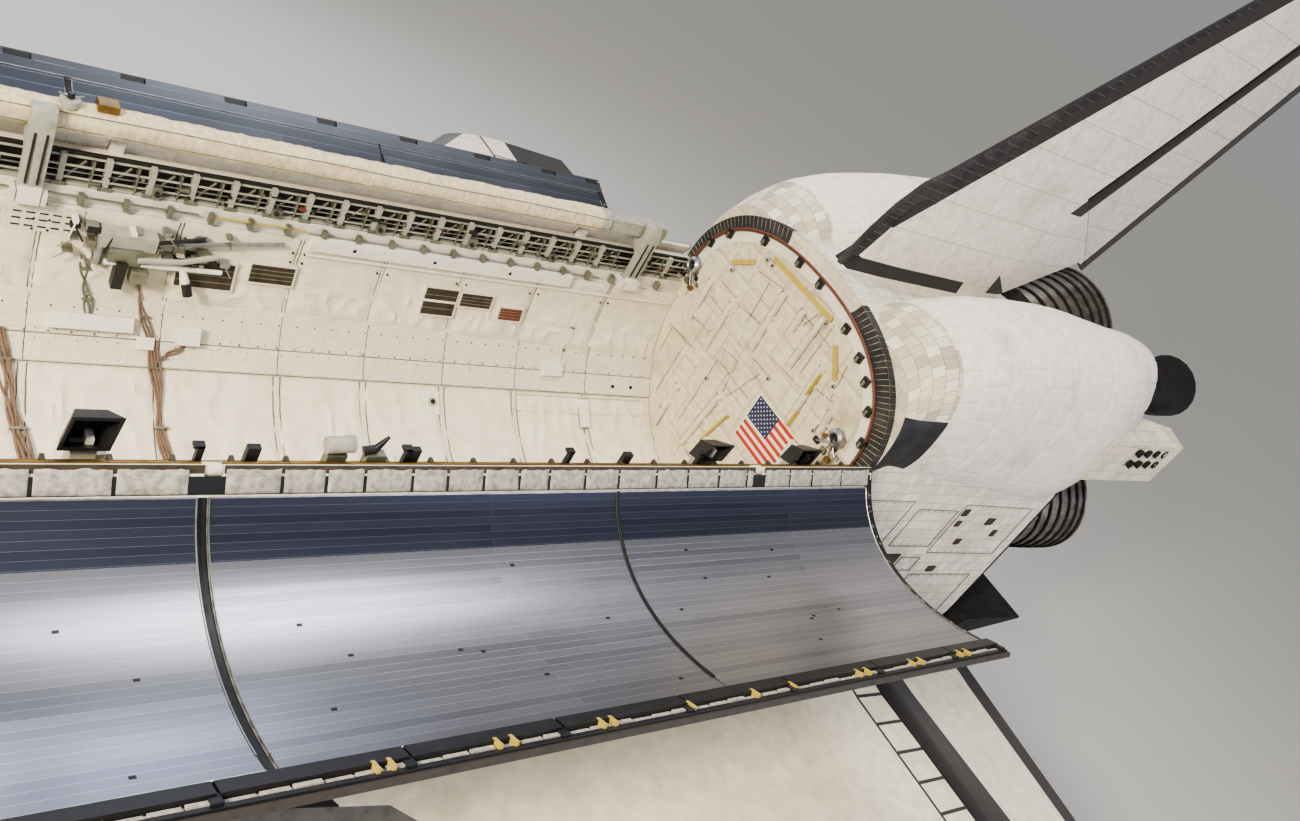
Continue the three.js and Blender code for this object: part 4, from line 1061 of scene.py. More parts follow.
@dataclass
class Studio:
    """The camera at the photograph's angle, a pale floor and soft lights."""

    location: Point = (-3.919, -9.419, 13.151)
    right: Point = (0.73411, -0.4567, 0.50241)
    up: Point = (-0.1043, 0.6553, 0.74817)
    back: Point = (-0.6709, -0.6017, 0.43348)
    lens_mm: float = 29.31
    shift: float = -0.0346
    lights: tuple[tuple[str, Point, float, float, str], ...] = (
        ("key", (-18, -10, 18), 4, 9500, "FFEFD6"),
        ("top", (8, 6, 30), 12, 3600, "FFFFFF"),
        ("fill", (16, -24, 12), 12, 2200, "ECEAFA"),
        ("far", (4, 26, 16), 14, 2000, "DDE6FF"),
    )
    aim: Point = (4, 0, 5)
    sun: Point = (-0.5, -0.35, 1)
    sun_light: tuple[str, float, float] = ("FFF8EC", 0.8, 0.4)  # colour, strength, angle
    sky: tuple[str, float] = ("D6D7DB", 0.42)  # colour, strength
    floor: float = 900.0

    def lamp(self, name: str, kind: str, tint: str, power: float) -> bpy.types.Object:
        """Adds a light of a kind, colour and power.

        Args:
            name: Its name.
            kind: AREA or SUN.
            tint: Its colour as a hex value.
            power: Its power or strength.

        Returns:
            The light's object.
        """
        light = bpy.data.lights.new(name, kind)
        light.energy, light.color = power, hex_colour(tint)[:3]
        lamp = bpy.data.objects.new(name, light)
        bpy.context.scene.collection.objects.link(lamp)
        return lamp

    def build(self) -> None:
        """Adds the camera, the lights, the floor and the world."""
        camera = bpy.data.cameras.new("camera")
        camera.lens, camera.sensor_width, camera.sensor_fit = self.lens_mm, 36.0, "HORIZONTAL"
        camera.shift_y, camera.clip_end = self.shift, 2500.0
        camera.dof.use_dof = False
        shown = bpy.data.objects.new("camera", camera)
        turn = Matrix((self.right, self.up, self.back)).transposed()
        shown.matrix_world = Matrix.Translation(self.location) @ turn.to_4x4()
        scene = bpy.context.scene
        scene.collection.objects.link(shown)
        scene.camera = shown
        for name, place, size, power, tint in self.lights:
            lamp = self.lamp(name, "AREA", tint, power)
            lamp.data.size, lamp.location = size, place
            lamp.rotation_euler = (Vector(self.aim) - Vector(place)).to_track_quat("-Z", "Y").to_euler()
        overhead = self.lamp("overhead", "SUN", *self.sun_light[:2])
        overhead.data.angle = self.sun_light[2]
        overhead.rotation_euler = Vector(self.sun).to_track_quat("Z", "Y").to_euler()
        world = bpy.data.worlds.new("studio")
        world.use_nodes = True
        sky = world.node_tree.nodes["Background"].inputs
        sky[0].default_value, sky[1].default_value = hex_colour(self.sky[0]), self.sky[1]
        scene.world = world
        scene.view_settings.view_transform = "AgX"
        scene.view_settings.look = "AgX - Medium High Contrast"
        floor, w = Sketch(FRAME), self.floor
        floor.add([(-w, -w, 0), (w, -w, 0), (w, w, 0), (-w, w, 0)], [(0, 1, 2, 3)], FLOOR)
        floor.make("floor", "")


@dataclass
class Door:
    """One payload bay door, hung open, with its two radiators."""

    label: str
    side: int
    degrees: float
    film: SilverFilm
    x: Pair = (582.3, 1306.7)
    skin_t: Pair = (2.55, 89.965)  # angles from the shoulder to the free edge
    forward: tuple[Pair, ...] = ((590.0, 760.6), (761.4, 939.4))
    aft: tuple[Pair, ...] = ((943.6, 1121.5), (1122.5, 1300.0))
    between: Pair = (939.8, 943.2)
    span: Pair = (10.0, 84.3)  # angles that the radiators cover
    # the angle where the band painted dark as a reflection ends
    reflection_band_to: float = 27.0
    black_edge: bool = True
    edge_pitch: float = 56.7
    lugs: tuple[float, ...] = (640.0, 945.0, 1215.0)
    bars: tuple[int, ...] = (
        968, 973, 1010, 1016, 1052, 1057, 1094, 1128, 1150, 1192, 1198, 1230, 1237, 1268, 1274,
    )

    def swung(self, x: float, y: float, z: float) -> Point:
        """A point of the shut starboard door, as it is on this door."""
        a = math.radians(-self.side * self.degrees)
        y, z, c, s = self.side * (y - HINGE_Y), z - HINGE_Z, math.cos(a), math.sin(a)
        return x, self.side * HINGE_Y + y * c - z * s, HINGE_Z + y * s + z * c

    def on(self, x: float, t: float, inset: float) -> Point:
        """A point of the door by its angle from the shoulder and its depth inwards."""
        return self.swung(x, *crown(t, inset))

    def slab(
        self, sketch: Sketch, x: Pair, t: Pair, inset: Pair, finish: Finish, steps: tuple[int, int]
    ) -> None:
        """Adds a curved slab between two insets.

        Args:
            sketch: Where it goes.
            x: Its ends.
            t: Its angles from the shoulder.
            inset: Its faces' depths in the door.
            finish: What covers it.
            steps: Faces along x and round the door.
        """

        def place(u: float, v: float, depth: float) -> Point:
            return self.on(along(x, u), along(t, v), depth)

        arc = math.radians(t[1] - t[0]) * (HALF - 10)
        sketch.sheet(
            lambda u, v: place(u, v, inset[1]),
            *steps,
            finish,
            spans=(x[1] - x[0], arc),
            thick=lambda u, v: place(u, v, inset[0]),
        )

    def raised(
        self, sketch: Sketch, x: Pair, t: Pair, height: float, finish: Finish, steps: tuple[int, int] = (1, 1)
    ) -> None:
        """Adds a slab that stands on the door's inner face."""
        self.slab(sketch, x, t, (DOOR_T, DOOR_T + height), finish, steps)

    def skin(self) -> None:
        """Makes the door itself, cut out round the hinges that carry it."""
        sketch = Sketch()
        x0, x1 = self.x
        low, high = self.skin_t
        seam, aft = (x0, x1 - 0.9), (x1 - 0.87, x1)
        self.slab(sketch, seam, (4.42, 89.5), (0, DOOR_T), FELT, (26, 60))
        self.slab(sketch, seam, (low, 4.4), (0, DOOR_T - 0.32), FELT, (26, 3))
        self.slab(sketch, seam, (low, 4.4), (DOOR_T - 0.3, DOOR_T), BRONZE, (26, 3))
        self.slab(sketch, seam, (89.52, high), (0, DOOR_T), EDGE_SEAL, (26, 1))
        self.slab(sketch, aft, self.skin_t, (0, DOOR_T), EDGE_SEAL, (1, 60))
        tools = []
        for i, x in enumerate(self.lugs):
            tool = Sketch()
            corners = [(a, b, c) for a in (x - 3.3, x + 3.3) for b in (94, 110) for c in (428, 440)]
            tool.add([self.swung(*p) for p in corners], CUBE, FELT)
            tools.append(tool.make(f"cutter_{self.label}_{i}", ""))
        door = f"{self.label}_door"
        carve(sketch.make(f"{door}_skin", f"{door}_body", replaces=[door]), tools)

    def radiator(self, name: str, spans: Sequence[Pair], gap: float, body: str) -> None:
        """Makes one radiator of two panels, with its rims, the band by the hinge painted dark as a
        reflection, and painted shade in the joint between its panels.

        Args:
            name: Its name without the side.
            spans: The ends of its panels.
            gap: How far it is off the door.
            body: The body that it rides on.
        """
        sketch = Sketch()
        inner, outer = DOOR_T + gap, DOOR_T + gap + RADIATOR_T
        for x in spans:
            # painted reflection: the band by the hinge is given dark film, the rest the door's own film
            self.slab(sketch, x, (self.span[0], self.reflection_band_to), (inner, outer), REFLECTION_BAND_FILM, (4, 10))
            self.slab(sketch, x, (self.reflection_band_to, self.span[1]), (inner, outer), self.film, (8, 64))
            for edge in x:
                rim = [self.on(edge, self.span[0] + i * 2.5, outer + 0.1) for i in range(29)]
                outside = edge in (spans[0][0], spans[1][1])
                sketch.pipe(rim, 0.35 if outside else 0.5, ALUMINIUM if outside else BLACK_PAINT, 6)
            for t in self.span:
                sketch.pipe([self.on(x[0], t, outer), self.on(x[1], t, outer)], 0.45, ALUMINIUM, 6)
        middle = (spans[0][1] + spans[1][0]) / 2
        # painted shade: a black strip under the joint between the two panels darkens the gap
        self.slab(sketch, (middle - 1.5, middle + 1.5), self.span, (inner, inner + 0.5), BLACK_PAINT, (1, 30))
        dots, depth = random.Random(len(name) + self.side), (outer - 0.1, outer + 0.08)
        for x0, x1 in spans:
            for _ in range(9):
                x, t = dots.uniform(x0 + 12, x1 - 12), dots.uniform(self.reflection_band_to + 4, self.span[1] - 4)
                self.slab(sketch, (x - 1, x + 1), (t - 0.4, t + 0.4), depth, BLACK_PAINT, (1, 1))
        sketch.make(f"{self.label}_{name}_panels", body, "radiator", [f"{self.label}_{name}"])

    def film_edge(self, sketch: Sketch, at: float, end: float) -> None:
        """Adds one length of the free edge's strip of film, scalloped at its end.

        Args:
            sketch: Where it goes.
            at: Its forward end.
            end: Its aft end.
        """
        self.raised(sketch, (at, end), (84.5, 87.6), 1.6, self.film, (1, 4))
        self.raised(sketch, (at, end - 13), (87.6, 89.4), 1.6, self.film, (1, 3))
        self.slab(sketch, (end - 13, end), (87.6, 89.6), (DOOR_T - 0.1, DOOR_T + 0.3), BLACK_PAINT, (1, 3))

    def latched_edge(self, sketch: Sketch, at: float, end: float) -> None:
        """Adds one length of the free edge's black strip, with its blankets and a latch.

        Args:
            sketch: Where it goes.
            at: Its forward end.
            end: Its aft end.
        """
        self.raised(sketch, (at, end - 0.8), (84.7, 87.7), 2.6, BLACK_PAINT, (1, 4))
        for k in range(6):
            x = at + 1 + k * 9.3
            if x < end - 8:
                height = 0.7 + 0.35 * ((k * 7) % 3)
                self.raised(sketch, (x, x + 8.4), (87.9, 88.7), height, SILL_CLOTH, (2, 2))
        self.raised(sketch, (end - 3.4, end), (87.0, 89.2), 2.0, BLACK_PAINT, (1, 2))

    def free_edge(self) -> None:
        """Makes the strip along the free edge: black and latched, or of film with scallops."""
        sketch = Sketch()
        x0, x1 = self.x
        at = x0 + 2
        while at < x1 - 12:
            end = min(at + self.edge_pitch, x1 - 2)
            (self.latched_edge if self.black_edge else self.film_edge)(sketch, at, end)
            at = end
        bulb = random.Random(7)
        for _ in range(26):
            t, x = bulb.uniform(8, 88), x1 - bulb.uniform(2.6, 4.6)
            self.raised(sketch, (x - 0.8, x + 0.8), (t, t + bulb.uniform(0.4, 1.4)), 0.9, DULL_ALUMINIUM)
        self.raised(sketch, (x1 - 6.4, x1 - 0.6), (7, 89), 0.3, BLACK_PAINT, (1, 50))
        if self.black_edge:
            self.raised(sketch, (x0 + 2, x1 - 1), (88.8, 89.55), 1.0, BLACK_PAINT, (1, 2))
            for x in self.bars:
                self.raised(sketch, (x, x + 1.4), (87.0, 89.1), 2.7, YELLOW_PAINT, (1, 4))
            edges = [x0 + 2, *self.lugs, x1 - 2]
            for a, b in zip(edges, edges[1:]):
                self.raised(sketch, (a + 6, b - 6), (2.7, 3.5), 0.1, BRONZE, (1, 2))
        sketch.make(f"{self.label}_door_latches", f"{self.label}_door_body", bevel=0.12)

    def puff(self, sketch: Sketch, x: Pair, t: Pair) -> None:
        """Adds one quilted blanket between two stations and two angles.

        Args:
            sketch: Where it goes.
            x: Its ends.
            t: Its angles from the shoulder.
        """
        near, far = (self.on(0, angle, DOOR_T + 0.3) for angle in t)

        def place(u: float, v: float, rise: float) -> Point:
            at = x[0] + (x[1] - x[0] - 1.4) * u
            lift = rise * (0.2 + 1.2 * math.sqrt(max(swell(u, 4) * swell(v, 2), 0)))
            lift += rise * 0.8 * noise.noise(Vector((at * 0.3, v * 3, self.side * 5)))
            lift += rise * 0.5 * ridge(at / 6, v * 1.4, x[0])
            return at, along((near[1], far[1]), v), along((near[2], far[2]), v) + lift

        sketch.sheet(lambda u, v: place(u, v, 1.0), 16, 8, SILL_CLOTH, thick=lambda u, v: place(u, v, 0.0))

    def hinge_blanket(self) -> None:
        """Makes the quilted blankets between the sill and the radiator's edge, with black strips under their
        gaps and between the radiators as painted shade.
        """
        sketch = Sketch()
        x0, x1 = self.x
        # painted shade: black strips show through the gaps between the blankets and between the two radiators
        self.raised(sketch, (x0 + 2, x1 - 2), (5.0, 9.4), 0.2, BLACK_PAINT, (1, 3))
        self.raised(sketch, self.between, self.span, 0.4, BLACK_PAINT, (1, 30))
        at, turn = x0 + 3, random.Random(12 + self.side)
        while at < x1 - 8:
            end = min(at + turn.uniform(15, 24), x1 - 2)
            stop = min((x - 4 for x in self.lugs if at - 1 < x - 4 < end), default=end)
            if stop - at > 4:
                self.puff(sketch, (at, stop), (3.6, self.span[0] - 0.8))
            at = end if stop == end else stop + 8
        piece = sketch.make(f"{self.label}_hinge_blankets", f"{self.label}_door_body")

    def build(self) -> None:
        """Makes the door with all that it carries."""
        self.skin()
        self.radiator("forward_radiator", self.forward, RUN, f"{self.label}_radiator_body")
        self.radiator("aft_radiator", self.aft, 0.3 * MM, f"{self.label}_door_body")
        self.free_edge()
        self.hinge_blanket()


@dataclass
class BayLiner:
    """The cloth that lines the payload bay, stretched between its frames."""

    x: Pair = (582.7, 1306.3)
    upper: Pair = (-3.3, 24.5)  # angles below the bay's axis
    middle: float = 37.0
    low: float = 45.6
    down: float = 90.0

    def share(self, x: float) -> tuple[int, float]:
        """The bay between two frames that x is in, and its share of the way across."""
        i = min(max(sum(1 for f in FRAMES if f <= x) - 1, 0), len(FRAMES) - 2)
        return i, (x - FRAMES[i]) / (FRAMES[i + 1] - FRAMES[i])

    def top_edge(self, x: float) -> float:
        """The angle where the upper cloth ends at x."""
        return self.upper[1] + max(x - 1050, 0) * 0.017

    def upper_height(self, x: float, t: float) -> float:
        """How far the upper cloth stands off the wall.

        Args:
            x: The station.
            t: The angle below the bay's axis.

        Returns:
            The height.
        """
        i, s = self.share(x)
        v = (t - self.upper[0]) / (self.top_edge(x) - self.upper[0])
        pillow = max(swell(s, 10), 0) * max(swell(min(max(v, 0), 1), 8), 0)
        sag = min(max((v - 0.45) / 0.4, 0), 1)
        folds = ridge(x / 11, t / 8, i * 3.1) * (0.7 + 1.7 * sag)
        return 0.75 + pillow * (0.9 + 0.5 * sag + folds)

    def lower_height(self, x: float, t: float) -> float:
        """How far the lower cloth stands off the trough.

        Args:
            x: The station.
            t: The angle below the bay's axis.

        Returns:
            The height.
        """
        i, s = self.share(x)
        v = (t - self.low) / (self.down - self.low)
        pillow = max(swell(s, 12), 0) * max(1 - max(1 - v * 8, 0) ** 2, 0)
        puckers = ridge(x / 14, t / 16, 40 + i) * 1.7 + 0.25 * noise.noise(Vector((x / 5, t / 4, 7.7)))
        return 0.75 + pillow * (0.7 + puckers)

    def cloth(
        self,
        name: str,
        side: int,
        place: Callable[[float, float], Pair],
        steps: tuple[int, int],
        finish: Finish,
    ) -> None:
        """Makes one stretched cloth.

        Args:
            name: The piece's name.
            side: 1 for starboard, -1 for port.
            place: (y, z) on the starboard side for x and the share across.
            steps: Faces along x and across.
            finish: The cloth.
        """
        sketch = Sketch()

        def at(u: float, v: float) -> Point:
            x = along(self.x, u)
            y, z = place(x, v)
            return x, side * y, z

        sketch.sheet(at, *steps, finish)
        piece = sketch.make(name, "airframe")

    def tape(self, sketch: Sketch, side: int, x: float, t: Pair, height: float, half: float) -> None:
        """Adds a seam tape up the wall at x, of a height and a half width.

        Args:
            sketch: Where it goes.
            side: 1 for starboard, -1 for port.
            x: Its middle.
            t: The angles of its ends.
            height: How far it stands off the wall.
            half: Half its width.
        """

        def on(u: float, v: float, lift: float) -> Point:
            y, z = wall(along(t, v), lift)
            return x + (2 * u - 1) * half, side * y, z

        sketch.sheet(lambda u, v: on(u, v, height), 2, 20, LINER_FLAT, thick=lambda u, v: on(u, v, 0.6))

    def tapes(self) -> None:
        """Makes the seam tapes over the frames and the small studs beside them."""
        sketch = Sketch()
        for x in FRAMES[1:-1]:
            for side in (-1, 1):
                self.tape(sketch, side, x, (-3, 23), 1.05, 0.5)
                self.tape(sketch, side, x, (46.5, 90), 1.25, 1.5)
                for t in (2.3, 5.7):
                    for shift in (-3.2, 3.2):
                        stud = [(x + shift, side * y, z) for y, z in (wall(t, 0.9), wall(t, 2.3))]
                        sketch.pipe(stud, 0.65, VENT_MESH, 8)
            for side in (-1, 1):
                for shift in (-1.9, 1.9):
                    self.stitch(sketch, side, x + shift, (46, 89.8), 1.45)
                    self.stitch(sketch, side, x + shift * 0.5, (-3, 24), 1.05)
                self.stitch(sketch, side, x, (25.4, 45.2), 2.0)
        sketch.make("bay_seam_tapes", "airframe", "liner")

    def stitch(self, sketch: Sketch, side: int, x: float, t: Pair, height: float) -> None:
        """Adds a dark stitched seam across the wall at x.

        Args:
            sketch: Where it goes.
            side: 1 for starboard, -1 for port.
            x: Its station.
            t: The angles of its ends.
            height: How far it stands off the wall.
        """
        row = []
        for i in range(25):
            y, z = wall(along(t, i / 24), height)
            row.append((x + 0.12 * math.sin(i * 1.7), side * y, z))
        sketch.pipe(row, 0.3, STITCH_AND_SHADOW, 4)

    def long_seams(self) -> None:
        """Makes the dark seams along the flat band's edges, drawn dark as painted shadow lines, and the seam
        along its middle.
        """
        sketch = Sketch()
        for side in (-1, 1):
            for edge in (lambda x: self.top_edge(x) + 0.35, lambda x: self.middle, lambda x: self.low - 0.1):
                row = []
                for i in range(181):
                    x = along(self.x, i / 180)
                    y, z = wall(edge(x), 1.75 + 0.1 * math.sin(i))
                    row.append((x, side * y, z))
                sketch.pipe(row, 0.24, STITCH_AND_SHADOW, 4)
            for k in range(72):
                x = self.x[0] + 6 + k * 10
                for t in (28.5, 36.2):
                    y, z = wall(t, 1.9)
                    sketch.box((x - 0.4, side * y - 0.5, z - 0.4), (x + 0.4, side * y + 0.5, z + 0.4), STITCH_AND_SHADOW)
        sketch.make("bay_long_seams", "airframe", "liner")

    def top(self, x: float, v: float) -> Pair:
        """A point of the upper cloth."""
        t = along((self.upper[0], self.top_edge(x)), v)
        return wall(t, self.upper_height(x, t))

    def band(self, x: float, v: float) -> Pair:
        """A point of the flat band, with its low edges and the seam along its middle.

        Args:
            x: The station.
            v: The share across.

        Returns:
            Its (y, z) on the starboard side.
        """
        t0, t1, m = self.top_edge(x) - 0.4, self.low, self.middle
        knots = ((t0, 0.9), (t0 + 0.5, 2.0), (m - 0.25, 2.0), (m, 1.5), (m + 0.25, 2.0))
        knots += ((t1 - 0.6, 2.0), (t1 + 0.4, 0.8))
        i = min(int(v * (len(knots) - 1)), len(knots) - 2)
        f = v * (len(knots) - 1) - i
        return wall(*(a * (1 - f) + b * f for a, b in zip(knots[i], knots[i + 1])))

    def trough(self, x: float, v: float) -> Pair:
        """A point of the lower cloth."""
        t = along((self.low, self.down), v)
        return wall(t, self.lower_height(x, t))

    def build(self) -> None:
        """Makes the upper cloths, the flat bands, the lower cloths and their tapes."""
        for label, side in (("port", -1), ("starboard", 1)):
            self.cloth(f"{label}_upper_liner", side, self.top, (340, 26), LINER)
            self.cloth(f"{label}_liner_band", side, self.band, (60, 12), LINER_FLAT)
            self.cloth(f"{label}_lower_liner", side, self.trough, (340, 30), LINER)
        self.tapes()
        self.long_seams()


@dataclass
class BayEquipment:
    """What hangs on the bay's starboard wall: vents, boxes, cables, a duct and a gripper.

    Places on the round wall are given as x, the angle t below its axis and the height off it.
    """

    screens: tuple[tuple[Pair, Pair, Finish], ...] = (
        ((981, 1009), (9, 18), VENT_MESH),
        ((1017, 1040), (7.5, 13.9), VENT_MESH),
        ((1119, 1140), (8, 18.6), VENT_MESH),
        ((1143, 1164), (8.6, 13.9), VENT_MESH),
        ((1172, 1188), (12.8, 17.7), SEAL_RED),
    )
    cases: tuple[tuple[Pair, Pair, float], ...] = (
        ((927, 965), (30, 35), 7),
        ((986, 997), (31.5, 37.7), 8),
        ((1213, 1228), (33, 39), 5),
        ((968, 976), (36, 40), 4),
        ((1244, 1250), (48, 60), 5),
    )
    runs: tuple[tuple[Pair, Pair, int, float, Finish], ...] = (
        ((974, 37), (980, 76), 4, 0.62, CABLE),
        ((957, 8), (974, 38), 3, 0.5, CABLE),
        ((905, 36), (919, 78), 5, 0.66, CABLE),
        ((888, 27), (907, 40), 3, 0.6, CABLE),
        ((938, 12), (944, 31), 3, 0.45, DULL_ALUMINIUM),
        ((990, 38), (976, 44), 2, 0.6, CABLE),
        ((1232, 14), (1226, 33), 1, 0.4, WHITE_PAINT),
    )
    beams: tuple[tuple[float, float, float, float, Pair, Finish], ...] = (  # x0, x1, y, z, size
        (1043, 1214, 91.6, 404.5, (3.8, 8), WHITE_PAINT),
        (1043, 1300, 90.6, 397.6, (1.4, 1.1), WHITE_PAINT),
        (1043, 1236, 93.4, 408.6, (1.2, 1.0), ALUMINIUM),
        (990, 1040, 92.4, 411, (0.9, 0.9), YELLOW_PAINT),
        (600, 985, 92.4, 411, (0.9, 0.9), DULL_ALUMINIUM),
    )
    blocks: tuple[tuple[Point, Point, Finish], ...] = (
        ((943, 83, 391), (968, 91, 399), GREY_PAINT),
        ((947, 80, 384), (962, 89, 392), DULL_ALUMINIUM),
        ((951, 78, 371), (956, 84, 386), BLACK_PAINT),
        ((958, 77, 376), (966, 83, 383), DULL_ALUMINIUM),
    )
    tubes: tuple[tuple[tuple[Point, ...], float | tuple[float, ...], Finish, int], ...] = (
        (((960, 80, 388), (980, 80, 390), (997, 84, 393)), 1.5, GREY_PAINT, 12),
        (((944, 86, 380), (944, 86, 397)), 2.4, ALUMINIUM, 14),
        (((966, 84, 396), (990, 88, 400)), 1.1, BLACK_PAINT, 10),
        (((946, 81, 384.5), (1001, 83, 384.5)), 1.3, WHITE_PAINT, 12),
        (((982, 82, 384), (984, 79, 378), (987, 78, 374)), (1.6, 2.6, 1.2), WHITE_PAINT, 12),
        (((984, 78, 379), (986, 76, 373)), 2.4, BLACK_PAINT, 12),
    )

    def patch(self, sketch: Sketch, x: Pair, t: Pair, height: Pair, finish: Finish) -> None:
        """Adds a slab on the round wall.

        Args:
            sketch: Where it goes.
            x: Its ends.
            t: Its angles.
            height: Its faces' heights off the wall.
            finish: What covers it.
        """

        def spot(u: float, v: float, h: float) -> Point:
            return along(x, u), *wall(along(t, v), h)

        low, high = height
        sketch.sheet(lambda u, v: spot(u, v, high), 1, 4, finish, thick=lambda u, v: spot(u, v, low))

    def peg(
        self, sketch: Sketch, x: float, t: float, height: Pair, radius: float, finish: Finish, sides: int
    ) -> None:
        """Adds a round peg that stands out from the wall, between two heights."""
        sketch.pipe([(x, *wall(t, h)) for h in height], radius, finish, sides)

    def vents(self) -> None:
        """Makes the screened vents in their frames."""
        sketch = Sketch()
        for x, t, finish in self.screens:
            self.patch(sketch, (x[0] - 1.2, x[1] + 1.2), (t[0] - 0.8, t[1] + 0.8), (0.6, 4.2), LINER_FLAT)
            self.patch(sketch, x, t, (3.8, 4.4), finish)
            for k in range(1, 4):
                at = along(t, k / 4)
                self.patch(sketch, x, (at - 0.15, at + 0.15), (4.3, 4.6), DULL_ALUMINIUM)
        self.patch(sketch, (1119, 1140), (12.6, 13.5), (4.3, 4.7), WHITE_PAINT)
        sketch.make("wall_vents", "airframe", "metal", bevel=0.08)

    def boxes(self) -> None:
        """Makes the boxes, brackets and the round port on the wall."""
        sketch = Sketch()
        for x, t, height in self.cases:
            self.patch(sketch, x, t, (1.0, height), WHITE_PAINT)
            self.patch(sketch, (x[0] - 0.5, x[1] + 0.5), (t[0] - 0.3, t[1] + 0.3), (1.0, 2.0), DULL_ALUMINIUM)
        self.patch(sketch, (893, 936), (-2.4, 6.4), (0.8, 2.1), LINER_FLAT)
        for t in (0.2, 2.4, 4.6):
            for k in range(5):
                x = 907 + k * 5.4
                self.patch(sketch, (x, x + 3.6), (t, t + 0.5), (2.0, 2.4), BLACK_PAINT)
        for x, t in ((899, 0.5), (899, 3.8), (933, 0.8)):
            self.peg(sketch, x, t, (1.8, 3.4), 2.2, DULL_ALUMINIUM, 18)
            self.peg(sketch, x, t, (3.2, 3.7), 1.4, BLACK_PAINT, 14)
        for t in ((46.6, 47.2), (53.2, 53.9)):
            self.patch(sketch, (1195, 1299), t, (0.5, 2.6), LINER_FLAT)
        self.patch(sketch, (1128, 1139), (48, 57), (0.5, 2.4), WHITE_PAINT)
        self.peg(sketch, 1134, 52, (2.2, 3.6), 2.5, GREY_PAINT, 20)
        self.peg(sketch, 1134, 52, (3.6, 3.9), 1.5, BLACK_PAINT, 16)
        for x, t in ((1273, 41.7), (1289, 41.6)):
            self.peg(sketch, x, t, (1.8, 2.5), 1.3, BLACK_PAINT, 14)
        for k in range(44):
            for t in (35.6, 38.6):
                self.peg(sketch, 905 + k * 9.1, t, (1.8, 2.3), 0.35, VENT_MESH, 6)
        sketch.make("wall_boxes", "airframe", "metal", bevel=0.25)

    def cables(self) -> None:
        """Makes the clipped cable runs, held along their whole length."""
        sketch, sway = Sketch(), random.Random(5)
        for (x0, t0), (x1, t1), count, radius, finish in self.runs:
            for strand in range(count):
                phase = sway.uniform(0, 6)
                route = []
                for f in (i / 32 for i in range(33)):
                    bend = math.sin(f * 8 + phase) * 1.5 * math.sin(f * math.pi)
                    height = 2.9 + 0.5 * math.sin(f * 9 + phase)
                    x = along((x0, x1), f) + strand * 1.2 + bend
                    route.append((x, *wall(along((t0, t1), f), height)))
                sketch.pipe(route, radius, finish, 8)
            for f in (0.22, 0.72):
                x, t = along((x0, x1), f), along((t0, t1), f)
                clip = (x - 1.0, x + count * 1.3)
                self.patch(sketch, clip, (t - 0.35, t + 0.35), (1.5, 3.9), DULL_ALUMINIUM)
        sketch.make("wall_cables", "airframe", "metal")

    def duct(self) -> None:
        """Makes the white duct and the rails under the sill."""
        sketch = Sketch()
        for x0, x1, y, z, size, finish in self.beams:
            sketch.beam((x0, y, z), (x1, y, z), size, finish)
        # painted shade: black discs stand for the dark insides of the duct's holes
        for x in (1068, 1117, 1168):
            sketch.pipe([(x, 89.8, 404.5), (x, 89.4, 404.5)], 1.1, BLACK_PAINT, 12)
        for k in range(36):
            x = 600 + k * 19.5
            sketch.box((x, 90.6, 407), (x + 2.4, 94.6, 412.5), DULL_ALUMINIUM)
        sketch.make("sill_duct", "airframe", "metal", bevel=0.2)

    def gripper(self) -> None:
        """Makes the latch gear on the wall by the middle boom pedestal."""
        sketch, turn = Sketch(), random.Random(31)
        for low, high, finish in self.blocks:
            sketch.box(low, high, finish)
        for route, radius, finish, sides in self.tubes:
            sketch.pipe(route, radius, finish, sides)
        sketch.beam((944, 84, 392), (1030, 90, 402), (1.2, 2.4), ALUMINIUM)
        kinds = (DULL_ALUMINIUM, BLACK_PAINT, ALUMINIUM, WHITE_PAINT, DULL_ALUMINIUM)
        for k in range(46):
            x, z = turn.uniform(930, 1003), turn.uniform(383, 403)
            depth, w, h = turn.uniform(83, 88), turn.uniform(0.8, 3.0), turn.uniform(0.6, 2.2)
            sketch.box((x - w, depth, z - h), (x + w, 91, z + h), kinds[k % 5])
            if k % 3 == 0:
                end = (x + turn.uniform(-7, 7), depth - 1, z - turn.uniform(2, 9))
                sketch.pipe([(x, depth, z), end], 0.45, kinds[k % 5], 6)
        sketch.make("wall_latch_gear", "airframe", "metal", bevel=0.3)

    def build(self) -> None:
        """Makes all of the wall's equipment."""
        self.vents()
        self.boxes()
        self.cables()
        self.duct()
        self.gripper()


